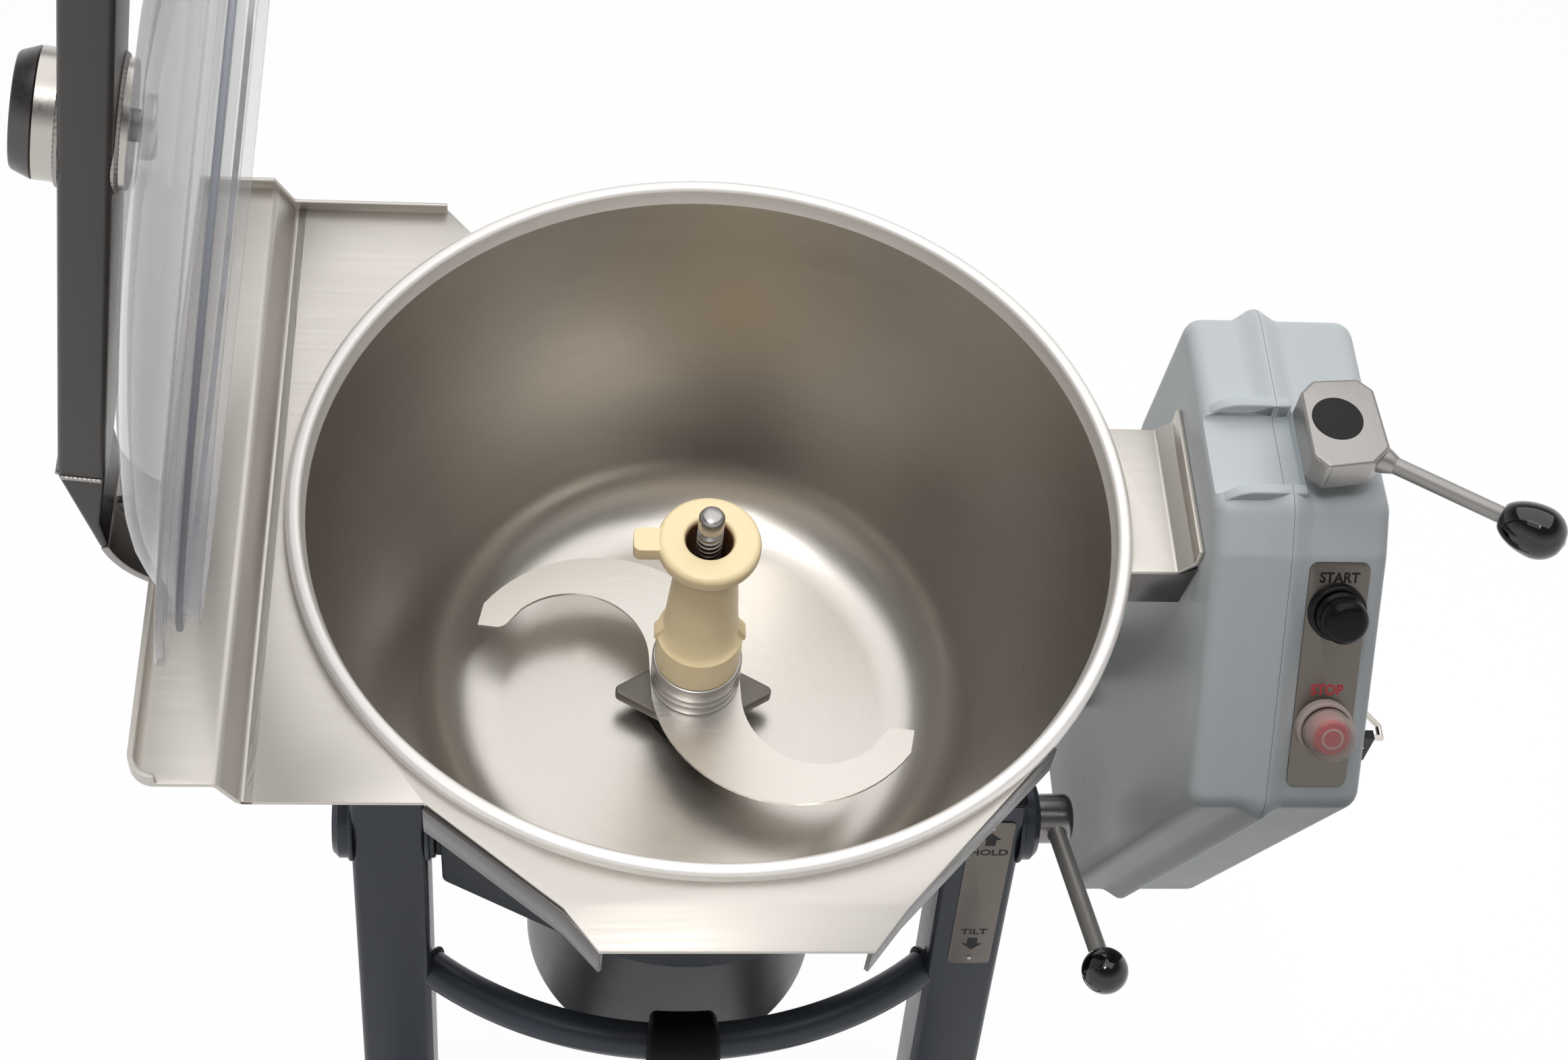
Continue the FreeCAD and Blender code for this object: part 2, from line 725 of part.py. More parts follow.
def tray_sheet():
    """The left side of the deck: an S-bend up to the tray."""
    middle = DECK_TOP - SHEET / 2
    tray = TRAY_TOP - SHEET / 2
    path = [(DECK_BEND_X + SHEET, middle), (DECK_BEND_X, middle), (TRAY_STEP_X, tray),
            (TRAY_EDGE_X - SHEET, tray)]
    wire = Part.makePolygon([V(x, DECK_FRONT, z) for x, z in path])
    section = wire.makeOffset2D(SHEET / 2, 0, True, True)
    sheet = section.extrude(V(0, DECK_BACK - DECK_FRONT, 0))
    corner = (TRAY_EDGE_X + TRAY_CORNER, DECK_FRONT + TRAY_CORNER)
    plan = [
        (TRAY_EDGE_X, DECK_BACK),
        (TRAY_EDGE_X, corner[1]),
        (on_circle(*corner, TRAY_CORNER, 225), (corner[0], DECK_FRONT)),
        (DECK_BEND_X + TRAY_CORNER, DECK_FRONT),
        (DECK_BEND_X + TRAY_CORNER, DECK_BACK),
    ]
    return sheet.common(raised(plan, -TUBE, TUBE))


def tray_lip():
    """Turned-up edge round the tray's left side and front corner."""
    inset = SHEET / 2
    radius = TRAY_CORNER - inset
    corner = (TRAY_EDGE_X + TRAY_CORNER, DECK_FRONT + TRAY_CORNER)
    level = TRAY_TOP - SHEET
    start = V(TRAY_EDGE_X + inset, DECK_BACK - inset, level)
    turn = V(TRAY_EDGE_X + inset, corner[1], level)
    crown = V(*on_circle(*corner, radius, 225), level)
    end = V(corner[0], DECK_FRONT + inset, level)
    wire = Part.Wire([Part.LineSegment(start, turn).toShape(), Part.Arc(turn, crown, end).toShape()])
    return wire.makeOffset2D(inset, 0, True, True).extrude(V(0, 0, TRAY_LIP + SHEET))


def back_lip():
    """Turned-up back edge that follows the deck and the tray."""
    low, high = DECK_TOP - SHEET, DECK_TOP + BACK_LIP
    rise = TRAY_TOP - DECK_TOP
    steps = [
        (TRAY_EDGE_X + SHEET / 2, low + rise), (TRAY_STEP_X, low + rise), (DECK_BEND_X, low),
        (BACK_CORNER[0], low), (BACK_CORNER[0], high), (DECK_BEND_X, high),
        (TRAY_STEP_X, high + rise), (TRAY_EDGE_X + SHEET / 2, high + rise),
    ]
    return through(steps, DECK_BACK - SHEET, DECK_BACK)


def deck():
    plate = raised(deck_outline(), DECK_TOP - SHEET, DECK_TOP).cut(rim_cutter())
    return joined(plate, spout_flanges(), tray_sheet(), tray_lip(), back_lip())


def housing_bracket():
    """Shelf from the rim to the control housing, with a bolting lip and a stiffening flange."""
    low = DECK_TOP - SHEET
    shelf = box(BOWL_R - TUBE, HOUSING_LEFT, BRACKET_FRONT, BRACKET_BACK, low, DECK_TOP)
    lip_x = HOUSING_LEFT - BRACKET_LIP_THICKNESS
    lip = box(lip_x, HOUSING_LEFT, BRACKET_FRONT, BRACKET_BACK, low, DECK_TOP + BRACKET_LIP)
    flange = box(BOWL_R, HOUSING_LEFT, BRACKET_FRONT, BRACKET_FRONT + SHEET, low - BRACKET_FLANGE, low)
    return joined(shelf, lip, flange).cut(rim_cutter())


def knuckle_span():
    start = ARM_WIDTH / 2 + KNUCKLE_GAP
    return start, start + KNUCKLE_LENGTH


def hinge_knuckles():
    """Two fixed knuckles under the tray, one beyond each side of the lid's strap."""
    start, end = knuckle_span()
    knuckles = []
    for side in (-1, 1):
        y0, y1 = sorted((side * start, side * end))
        barrel = rod(BARREL_R, (HINGE_X, y0, HINGE_Z), (HINGE_X, y1, HINGE_Z))
        half = KNUCKLE_BLOCK_HALF
        block = box(HINGE_X - half, HINGE_X + half, y0, y1, HINGE_Z, TRAY_TOP - SHEET)
        hole = rod(HINGE_PIN_R, (HINGE_X, y0, HINGE_Z), (HINGE_X, y1, HINGE_Z))
        knuckles.append(joined(barrel, block).cut(hole))
    return knuckles


def hinge_pin():
    end = knuckle_span()[1]
    return rod(HINGE_PIN_R, (HINGE_X, -end, HINGE_Z), (HINGE_X, end, HINGE_Z))


def shaft_seal():
    """Gland ring that seals the shaft in the bowl's floor."""
    floor, under = -BOWL_DEPTH, -BOWL_DEPTH - BOWL_WALL
    bore = SHAFT_R + RUNNING_GAP
    steps = [(bore, YOKE_TOP), (GLAND_R, YOKE_TOP), (GLAND_R, floor), (SEAL_R, floor),
             (SEAL_R - SEAL_RISE / 2, floor + SEAL_RISE), (bore, floor + SEAL_RISE)]
    return turned(steps)


def bowl_and_deck():
    save("bowl", tilt(bowl()))
    save("deck", tilt(deck()))
    save("housing_bracket", tilt(housing_bracket()))
    save("hinge_knuckles", *[tilt(knuckle) for knuckle in hinge_knuckles()])
    save("hinge_pin", tilt(hinge_pin()))
    save("shaft_seal", tilt(shaft_seal()))


# Yoke and the arm to the housing

def pin_holes():
    reach = YOKE_END_X + TUBE
    axis_y, axis_z = -PIVOT_FORWARD, -PIVOT_BELOW_RIM
    left = rod(PIN_R, (-reach, axis_y, axis_z), (-PIN_INNER_X, axis_y, axis_z))
    right = rod(PIN_R, (PIN_INNER_X, axis_y, axis_z), (reach, axis_y, axis_z))
    return left.fuse(right)


def yoke_plan():
    """Arms out to the trunnions, blended into a round body by lines tangent to it."""
    front = -PIVOT_FORWARD - YOKE_ARM_HALF
    back = -PIVOT_FORWARD + YOKE_ARM_HALF
    steps = []
    for x, y, turn in ((-YOKE_END_X, front, 1), (YOKE_END_X, front, -1), (YOKE_END_X, back, 1), (-YOKE_END_X, back, -1)):
        distance = math.hypot(x, y)
        away = math.degrees(math.atan2(y, x)) + turn * math.degrees(math.acos(YOKE_ROUND_R / distance))
        steps.append(((x, y), on_circle(0, 0, YOKE_ROUND_R, away)))
    (left_end, left_touch), (right_end, right_touch), (right_back, right_rear), (left_back, left_rear) = steps
    return [
        left_back, left_end, left_touch,
        ((0.0, -YOKE_ROUND_R), right_touch), right_end, right_back, right_rear,
        ((0.0, YOKE_ROUND_R), left_rear),
    ]


def yoke():
    body = raised(yoke_plan(), YOKE_BOTTOM, YOKE_TOP)
    seat = rod(YOKE_SEAT_R, (0, 0, YOKE_TOP), (0, 0, -BOWL_DEPTH - BOWL_WALL))
    well = rod(MOTOR_R + MOTOR_GAP, (0, 0, YOKE_BOTTOM), (0, 0, YOKE_TOP - YOKE_PLATE))
    bore = rod(BEARING_R, (0, 0, YOKE_BOTTOM), (0, 0, YOKE_TOP - BEARING_SEAT))
    neck = rod(GLAND_R, (0, 0, YOKE_BOTTOM), (0, 0, -BOWL_DEPTH))
    return joined(body, seat).cut(well).cut(bore).cut(neck).cut(pin_holes())


def housing_arm():
    """Square tube from the back of the yoke, behind the right upright, to the housing."""
    half = HOUSING_ARM_SIZE / 2
    inner = half - TUBE_WALL
    y, z = HOUSING_ARM_Y, HOUSING_ARM_Z
    face = HOUSING_LEFT - HOUSING_FLANGE
    bar = box(HOUSING_ARM_START, face, y - half, y + half, z - half, z + half)
    bore = box(HOUSING_ARM_START, face, y - inner, y + inner, z - inner, z + inner)
    wide = HOUSING_FLANGE_HALF
    flange = box(face, HOUSING_LEFT, y - wide, y + wide, z - wide, z + wide)
    body = raised(yoke_plan(), YOKE_BOTTOM - TUBE, YOKE_TOP + TUBE)
    return joined(bar.cut(bore), flange).cut(body).cut(housing_bolts_shape(HOUSING_BOLT_R))


def housing_bolt_places():
    reach = HOUSING_FLANGE_HALF - 2 * HOUSING_BOLT_R
    return [(HOUSING_ARM_Y + a * reach, HOUSING_ARM_Z + b * reach) for a in (-1, 1) for b in (-1, 1)]


def housing_bolts():
    """Bolts through the arm's flange into the housing's left wall."""
    outside = HOUSING_LEFT - HOUSING_FLANGE
    inside = HOUSING_LEFT + HOUSING_WALL
    bolts = []
    for y, z in housing_bolt_places():
        shank = rod(HOUSING_BOLT_R, (outside, y, z), (inside, y, z))
        head = rod(1.6 * HOUSING_BOLT_R, (outside - HOUSING_BOLT_HEAD, y, z), (outside, y, z))
        bolts.append(joined(shank, head))
    return bolts


def housing_bolts_shape(radius):
    outside = HOUSING_LEFT - HOUSING_FLANGE
    inside = HOUSING_LEFT + HOUSING_WALL
    shape = None
    for y, z in housing_bolt_places():
        hole = rod(radius, (outside, y, z), (inside, y, z))
        shape = hole if shape is None else shape.fuse(hole)
    return shape


def yoke_group():
    save("yoke", tilt(yoke()))
    save("housing_arm", tilt(housing_arm()))
    save("housing_bolts", *[tilt(bolt) for bolt in housing_bolts()])


# Motor

def motor_top():
    return YOKE_TOP - YOKE_PLATE


def motor_shell():
    foot = MOTOR_FOOT_RADIUS
    inner = MOTOR_R - MOTOR_WALL
    floor = MOTOR_BOTTOM + MOTOR_WALL
    seat_r = BEARING_R + MOTOR_WALL
    seat_top = LOWER_BEARING_Z + BEARING_WIDTH
    steps = [
        (0, MOTOR_BOTTOM),
        (MOTOR_R - foot, MOTOR_BOTTOM),
        (on_circle(MOTOR_R - foot, MOTOR_BOTTOM + foot, foot, -45), (MOTOR_R, MOTOR_BOTTOM + foot)),
        (MOTOR_R, motor_top()),
        (inner, motor_top()),
        (inner, floor),
        (seat_r, floor),
        (seat_r, seat_top),
        (BEARING_R, seat_top),
        (BEARING_R, floor),
        (0, floor),
    ]
    return turned(steps)


def stator():
    outer = MOTOR_R - MOTOR_WALL
    steps = [(STATOR_INNER_R, STATOR_BOTTOM), (outer, STATOR_BOTTOM), (outer, STATOR_TOP), (STATOR_INNER_R, STATOR_TOP)]
    return turned(steps)


def bearing(z):
    """Ball bearing as one ring with grooved faces, its bore a running fit on the shaft."""
    bore = SHAFT_R + RUNNING_GAP
    top = z + BEARING_WIDTH
    groove = 1.0
    race = (BEARING_R - bore) / 3
    steps = [
        (bore, z), (bore + race, z), (bore + race, z + groove), (BEARING_R - race, z + groove),
        (BEARING_R - race, z), (BEARING_R, z), (BEARING_R, top), (BEARING_R - race, top),
        (BEARING_R - race, top - groove), (bore + race, top - groove), (bore + race, top), (bore, top),
    ]
    return turned(steps)


def motor_shaft():
    """One shaft from the motor's lower bearing to the threaded end above the knife."""
    boss_foot = DRIVE_PLATE_TOP - DRIVE_PLATE_THICKNESS
    steps = [
        (0, LOWER_BEARING_Z + 1.0),
        (SHAFT_R, LOWER_BEARING_Z + 1.0),
        (SHAFT_R, boss_foot),
        (SPINDLE_R, boss_foot),
        (SPINDLE_R, SPINDLE_TOP),
        (THREAD_R, SPINDLE_TOP),
        (THREAD_R, THREAD_TOP - 1.0),
        (THREAD_R - 1.0, THREAD_TOP),
        (0, THREAD_TOP),
    ]
    return turned(steps)


def rotor_core():
    steps = [(SHAFT_R, STATOR_BOTTOM), (ROTOR_R, STATOR_BOTTOM), (ROTOR_R, STATOR_TOP), (SHAFT_R, STATOR_TOP)]
    return turned(steps)


def motor_fan():
    hub = turned([(SHAFT_R, FAN_Z), (SHAFT_R + 10.0, FAN_Z), (SHAFT_R + 10.0, FAN_Z + 24.0), (SHAFT_R, FAN_Z + 24.0)])
    disc = turned([(SHAFT_R, FAN_Z), (FAN_R, FAN_Z), (FAN_R, FAN_Z + 3.0), (SHAFT_R, FAN_Z + 3.0)])
    fan = hub.fuse(disc)
    for index in range(FAN_BLADES):
        blade = box(SHAFT_R + 6.0, FAN_R, -1.5, 1.5, FAN_Z, FAN_Z + 22.0)
        blade.rotate(V(0, 0, 0), V(0, 0, 1), 360.0 * index / FAN_BLADES)
        fan = fan.fuse(blade)
    return fan.removeSplitter()


def motor_group():
    save("motor_shell", tilt(motor_shell()))
    save("stator", tilt(stator()))
    upper = YOKE_TOP - BEARING_SEAT - BEARING_WIDTH
    save("motor_bearings", tilt(bearing(upper)), tilt(bearing(LOWER_BEARING_Z)))
    save("motor_shaft", tilt(motor_shaft()))
    save("rotor_core", tilt(rotor_core()))
    save("motor_fan", tilt(motor_fan()))


# Knife

def drive_plate():
    """Diamond plate keyed to the shaft, with the boss that the knife sits on."""
    bottom = DRIVE_PLATE_TOP - DRIVE_PLATE_THICKNESS
    corners = [(-DRIVE_PLATE_LONG, 0.0), (0.0, -DRIVE_PLATE_SHORT), (DRIVE_PLATE_LONG, 0.0), (0.0, DRIVE_PLATE_SHORT)]
    plate = raised(rounded(corners, DRIVE_PLATE_CORNER), bottom, DRIVE_PLATE_TOP)
    boss = rod(DRIVE_BOSS_R, (0, 0, DRIVE_PLATE_TOP), (0, 0, BLADE_BOTTOM))
    return joined(plate, boss).cut(rod(SPINDLE_R, (0, 0, bottom), (0, 0, BLADE_BOTTOM)))


def knife_arm():
    """Half of the S, from the neck round the outer curve to the tip and back inside."""
    heel = on_circle(BLADE_OUTER_X, 0, BLADE_OUTER_R, BLADE_HEEL_ANGLE)
    toe = on_circle(BLADE_INNER_X, BLADE_INNER_Y, BLADE_INNER_R, BLADE_TOE_ANGLE)
    return [
        (on_circle(BLADE_OUTER_X, 0, BLADE_OUTER_R, -100), heel),
        BLADE_TIP,
        toe,
        (on_circle(BLADE_INNER_X, BLADE_INNER_Y, BLADE_INNER_R, -100), (BLADE_NECK, BLADE_INNER_Y)),
        (BLADE_NECK, 0.0),
    ]


def half_turn(step):
    if isinstance(step[0], tuple):
        return (half_turn(step[0]), half_turn(step[1]))
    return (-step[0], -step[1])


def knife_blade():
    arm = knife_arm()
    steps = [(-BLADE_NECK, 0.0)] + arm + [half_turn(step) for step in arm]
    blade = raised(steps, BLADE_BOTTOM, BLADE_BOTTOM + BLADE_THICKNESS)
    bore = rod(SPINDLE_R + RUNNING_GAP, (0, 0, BLADE_BOTTOM), (0, 0, BLADE_BOTTOM + BLADE_THICKNESS))
    return blade.cut(bore)


def knife_ring(z0, z1):
    bore = SPINDLE_R + RUNNING_GAP
    inset = KNIFE_RING_GROOVE
    steps = [(bore, z0), (KNIFE_RING_R - inset, z0), (KNIFE_RING_R, z0 + inset), (KNIFE_RING_R, z1 - inset),
             (KNIFE_RING_R - inset, z1), (bore, z1)]
    return turned(steps)


def knife_hub():
    """Moulded hub: a grip flange with a thumb tab, a tapered body and a stepped collar."""
    bottom = KNIFE_RING_TOP
    bore = SPINDLE_R + RUNNING_GAP
    top, edge = HUB_FLANGE_TOP, HUB_EDGE
    rim = HUB_FLANGE_R - edge
    steps = [
        (bore, bottom),
        (HUB_COLLAR_R, bottom),
        (HUB_COLLAR_R, HUB_COLLAR_TOP - 3.0),
        (HUB_BODY_R, HUB_COLLAR_TOP),
        (HUB_NECK_R, HUB_NECK_Z),
        (HUB_NECK_R + 2.0, HUB_FLANGE_BOTTOM),
        (rim, HUB_FLANGE_BOTTOM),
        (on_circle(rim, HUB_FLANGE_BOTTOM + edge, edge, -45), (HUB_FLANGE_R, HUB_FLANGE_BOTTOM + edge)),
        (HUB_FLANGE_R, top - edge),
        (on_circle(rim, top - edge, edge, 45), (rim, top)),
        (HUB_WELL_R + 1.5, top),
        (HUB_WELL_R, top - 1.5),
        (HUB_WELL_R, HUB_WELL_FLOOR),
        (bore, HUB_WELL_FLOOR),
    ]
    half = HUB_TAB_WIDTH / 2
    end = HUB_TAB_LENGTH - half
    start = HUB_WELL_R + 4.0
    tab_steps = [(-start, -half), (-start, half), (-end, half), ((-HUB_TAB_LENGTH, 0.0), (-end, -half))]
    tab = raised(tab_steps, HUB_FLANGE_BOTTOM + 1.0, HUB_FLANGE_TOP - 1.5)
    return joined(turned(steps), tab)


def knife_group():
    save("drive_plate", tilt(drive_plate()))
    save("knife_blade", tilt(knife_blade()))
    lower = knife_ring(BLADE_BOTTOM + BLADE_THICKNESS, KNIFE_RING_SPLIT)
    upper = knife_ring(KNIFE_RING_SPLIT, KNIFE_RING_TOP)
    save("knife_rings", tilt(lower), tilt(upper))
    save("knife_hub", tilt(knife_hub()))


# Lid

def lid_dome():
    """Clear moulded lid: a flange on the rim, a skirt inside it and a shallow dome."""
    top = LID_SEAT + LID_FLANGE
    sheet = LID_SHEET
    crown_r = 0.6 * LID_SHOULDER_R
    crown_z = LID_CROWN_Z - (LID_CROWN_Z - LID_SHOULDER_Z) * 0.36
    turn = (0.5 * (LID_SHOULDER_R + LID_TURN_R) + 5.0, 0.5 * (LID_SHOULDER_Z + top) + 4.0)
    inner_turn = (turn[0] - 0.8 * sheet, turn[1] - 0.8 * sheet)
    foot_r = LID_TURN_R - sheet
    steps = [
        (LID_BOLT_R, LID_CROWN_Z),
        ((crown_r, crown_z), (LID_SHOULDER_R, LID_SHOULDER_Z)),
        (turn, (LID_TURN_R, top)),
        (LID_R, top),
        (LID_R, LID_SEAT),
        (LID_SKIRT_R, LID_SEAT),
        (LID_SKIRT_R, LID_SKIRT_BOTTOM),
        (LID_SKIRT_R - sheet, LID_SKIRT_BOTTOM),
        (LID_SKIRT_R - sheet, LID_SEAT),
        (foot_r, LID_SEAT),
        (inner_turn, (LID_SHOULDER_R - sheet / 2, LID_SHOULDER_Z - sheet)),
        ((crown_r, crown_z - sheet), (LID_BOLT_R, LID_CROWN_Z - sheet)),
    ]
    return turned(steps)


def lid_seal():
    """Soft ring in the angle between the skirt and the flange."""
    outer = LID_SKIRT_R + SEAL_RING
    steps = [(LID_SKIRT_R, -SEAL_RING), (outer, -SEAL_RING), (outer, LID_SEAT), (LID_SKIRT_R, LID_SEAT)]
    return turned(steps)


def lid_boss():
    """Round tube welded through the arm, its foot on the lid's crown."""
    foot = LID_CROWN_Z
    inner = BOSS_TUBE_R - BOSS_TUBE_WALL
    floor = foot + BOSS_TUBE_WALL
    steps = [
        (LID_BOLT_R, foot), (BOSS_TUBE_R, foot), (BOSS_TUBE_R, BOSS_TUBE_TOP), (inner, BOSS_TUBE_TOP),
        (inner, floor), (LID_BOLT_R, floor),
    ]
    return turned(steps)


def boss_cap():
    inner = BOSS_TUBE_R - BOSS_TUBE_WALL
    steps = [
        (0, BOSS_TUBE_TOP - CAP_PLUG), (inner, BOSS_TUBE_TOP - CAP_PLUG), (inner, BOSS_TUBE_TOP),
        (BOSS_TUBE_R, BOSS_TUBE_TOP), (CAP_TOP_R, CAP_TOP), (0, CAP_TOP),
    ]
    return turned(steps)


def lid_bolt():
    """Bolt that clamps the lid to the boss: a smooth head under the lid, a nut in the boss."""
    low = LID_CROWN_Z - LID_SHEET
    high = LID_CROWN_Z + BOSS_TUBE_WALL
    head, head_r = LID_BOLT_HEAD, LID_BOLT_HEAD_R
    steps = [
        (0, low - head), (head_r - 3.0, low - head), (head_r, low - head + 3.0), (head_r, low - 0.5),
        (LID_BOLT_R, low), (LID_BOLT_R, high), (head_r, high), (head_r, high + head), (0, high + head),
    ]
    return turned(steps)


def lid_arm():
    """Rectangular tube over the lid, with the boss's hole and a solid tongue at its free end."""
    half, wall = ARM_WIDTH / 2, ARM_WALL
    top = ARM_BOTTOM + ARM_HEIGHT
    bar = box(ARM_LEFT, ARM_RIGHT, -half, half, ARM_BOTTOM, top)
    bore = box(ARM_LEFT, ARM_RIGHT - wall, -half + wall, half - wall, ARM_BOTTOM + wall, top - wall)
    hole = rod(BOSS_TUBE_R, (0, 0, ARM_BOTTOM), (0, 0, top))
    tip = TONGUE_WIDTH / 2
    radius = tip / 2
    plan = [
        (ARM_RIGHT, -tip), (TONGUE_END - radius, -tip),
        (on_circle(TONGUE_END - radius, -tip + radius, radius, -45), (TONGUE_END, -tip + radius)),
        (TONGUE_END, tip - radius),
        (on_circle(TONGUE_END - radius, tip - radius, radius, 45), (TONGUE_END - radius, tip)),
        (ARM_RIGHT, tip),
    ]
    tongue = raised(plan, ARM_BOTTOM, ARM_BOTTOM + TONGUE_THICKNESS)
    return joined(bar.cut(bore).cut(hole), tongue)


def arm_neck():
    """Mitred end of the arm, tapering down onto the hinge strap."""
    top = ARM_BOTTOM + ARM_HEIGHT
    inner = STRAP_R - STRAP_THICKNESS
    start_out = on_circle(HINGE_X, HINGE_Z, STRAP_R, STRAP_START)
    start_in = on_circle(HINGE_X, HINGE_Z, inner, STRAP_START)
    steps = [(ARM_LEFT, top), start_out, start_in, (HINGE_X + STRAP_THICKNESS, start_in[1] + STRAP_THICKNESS),
             (ARM_LEFT, ARM_BOTTOM)]
    half = ARM_WIDTH / 2
    return through(steps, -half, half)


def hinge_strap():
    """Curved strap that reaches round the tray's edge to the hinge barrel under it."""
    half = ARM_WIDTH / 2
    inner = STRAP_R - STRAP_THICKNESS
    middle = (STRAP_START + STRAP_END) / 2
    x, z = HINGE_X, HINGE_Z
    band = through([
        on_circle(x, z, STRAP_R, STRAP_START),
        (on_circle(x, z, STRAP_R, middle), on_circle(x, z, STRAP_R, STRAP_END)),
        on_circle(x, z, inner, STRAP_END),
        (on_circle(x, z, inner, middle), on_circle(x, z, inner, STRAP_START)),
    ], -half, half)
    rib_r = inner - STRAP_RIB_DEPTH
    rib = through([
        on_circle(x, z, inner, STRAP_START),
        (on_circle(x, z, inner, middle), on_circle(x, z, inner, STRAP_END)),
        on_circle(x, z, rib_r, STRAP_END),
        (on_circle(x, z, rib_r, middle), on_circle(x, z, rib_r, STRAP_START)),
    ], -STRAP_RIB / 2, STRAP_RIB / 2)
    web = box(0, STRAP_R - STRAP_THICKNESS / 2, -half, half, 0, STRAP_THICKNESS)
    web.rotate(V(0, 0, 0), V(0, -1, 0), STRAP_END)
    web.translate(V(x, 0, z))
    web = web.common(rod(STRAP_R, (x, -half, z), (x, half, z)))
    barrel = rod(BARREL_R, (x, -half, z), (x, half, z))
    bore = rod(HINGE_PIN_R + RUNNING_GAP, (x, -half, z), (x, half, z))
    return joined(band, rib, web, barrel).cut(bore)


def lid_group():
    save("lid", opened(lid_dome()))
    save("lid_seal", opened(lid_seal()))
    save("lid_boss", opened(lid_boss()))
    save("boss_cap", opened(boss_cap()))
    save("lid_bolt", opened(lid_bolt()))
    save("lid_arm", opened(joined(lid_arm(), arm_neck())))
    save("hinge_strap", opened(hinge_strap()))


# Control housing

def housing_points():
    return [
        (HOUSING_TOP_FRONT, HOUSING_TOP), HOUSING_BROW, HOUSING_CHIN, (HOUSING_FOOT_FRONT, HOUSING_FOOT_Z),
        (HOUSING_BACK, HOUSING_FOOT_Z), (HOUSING_BACK, HOUSING_BACK_KNEE), (HOUSING_TOP_BACK, HOUSING_TOP),
    ]


def housing_section(x, growth):
    """Side outline of the housing at one x, grown or shrunk all round."""
    wire = outline(rounded(housing_points(), HOUSING_CORNER), lambda y, z: V(x, y, z))
    face = Part.Face(wire)
    if growth:
        face = Part.Face(face.makeOffset2D(growth).Wires[0])
    return face


def slab(x0, x1, growth):
    return housing_section(x0, growth).extrude(V(x1 - x0, 0, 0))


def seam_ridge(side):
    """Flared flange along the seam."""
    foot = HOUSING_SEAM + side * SEAM_RIDGE_FOOT
    shoulder = HOUSING_SEAM + side * SEAM_RIDGE_FLAT
    flare = Part.makeLoft([housing_section(foot, 0).Wires[0], housing_section(shoulder, SEAM_RIDGE).Wires[0]], True)
    return flare.fuse(slab(shoulder, HOUSING_SEAM, SEAM_RIDGE))


def saddle_cut():
    return box(HOUSING_LEFT - TUBE, SADDLE_RIGHT, -SADDLE_HALF, SADDLE_HALF, SADDLE_Z, HOUSING_TOP + TUBE)


def saddle_tray(x0, x1):
    """Floor and side walls under the saddle."""
    wide = SADDLE_HALF + SADDLE_RIB
    block = box(x0, x1, -wide, wide, SADDLE_Z - HOUSING_WALL, HOUSING_TOP - HOUSING_WALL / 2)
    return block.cut(saddle_cut())


def saddle_ribs(x1):
    """Two raised ribs that guide the lid's tongue into the saddle."""
    high = HOUSING_TOP + SEAM_RIDGE
    ribs = []
    for side in (-1, 1):
        near, far = sorted((side * SADDLE_HALF, side * (SADDLE_HALF + SADDLE_RIB)))
        ribs.append(box(SADDLE_RIB_LEFT, x1, near, far, SADDLE_Z, high))
    rounding = softened(ribs[0].fuse(ribs[1]), SADDLE_RIB / 2,
                        lambda b: flat_at(b.XMin, b.XMax, SADDLE_RIB_LEFT) and flat_at(b.ZMin, b.ZMax, high))
    return rounding


def screw_places():
    """Where the seam screws stand, as (y, z)."""
    inset = HOUSING_EDGE + SEAM_SCREW_HEAD_R + 1.0
    return [
        (HOUSING_TOP_BACK - inset, CROWN_FOOT - SCREW_BOSS_R - 2.0),
        (HOUSING_BACK - inset, HOUSING_FOOT_Z + inset),
        (HOUSING_FOOT_FRONT + inset, HOUSING_FOOT_Z + inset),
    ]


def left_shell():
    body = slab(HOUSING_LEFT, HOUSING_SEAM, 0)
    body = softened(body, HOUSING_EDGE, lambda b: flat_at(b.XMin, b.XMax, HOUSING_LEFT))
    hollow = slab(HOUSING_LEFT + HOUSING_WALL, HOUSING_SEAM, -HOUSING_WALL)
    shell = joined(body, seam_ridge(-1)).cut(saddle_cut()).cut(hollow)
    shell = joined(shell, saddle_ribs(HOUSING_SEAM), saddle_tray(HOUSING_LEFT + HOUSING_WALL / 2, HOUSING_SEAM))
    for y, z in screw_places():
        boss = rod(SCREW_BOSS_R, (HOUSING_LEFT + HOUSING_WALL / 2, y, z), (HOUSING_SEAM, y, z))
        shell = shell.fuse(boss)
    tapped = SEAM_SCREW_LENGTH + 2.0
    for y, z in screw_places():
        shell = shell.cut(rod(SEAM_SCREW_R, (HOUSING_SEAM - tapped, y, z), (HOUSING_SEAM, y, z)))
    return shell.cut(housing_bolts_shape(HOUSING_BOLT_R)).removeSplitter()


def panel_direction():
    """Unit vector down the sloping panel and its outward normal, as (y, z) pairs."""
    down_y = HOUSING_CHIN[0] - HOUSING_BROW[0]
    down_z = HOUSING_CHIN[1] - HOUSING_BROW[1]
    length = math.hypot(down_y, down_z)
    down = (down_y / length, down_z / length)
    return down, (down[1], -down[0])


def panel_point(along, height):
    """A point on the sloping panel's middle line, so far down it and so high above it."""
    down, out = panel_direction()
    x = (PLATE_LEFT + PLATE_RIGHT) / 2
    y = HOUSING_BROW[0] + down[0] * along + out[0] * height
    z = HOUSING_BROW[1] + down[1] * along + out[1] * height
    return (x, y, z)


def from_panel(shape, along):
    """Stand a piece drawn along +Z on the panel."""
    out = panel_direction()[1]
    return stood(shape, panel_point(along, 0), (0, out[0], out[1]))


def switch_hole(along):
    return rod(SWITCH_BARREL_R, panel_point(along, -SWITCH_BARREL), panel_point(along, PLATE_THICKNESS))


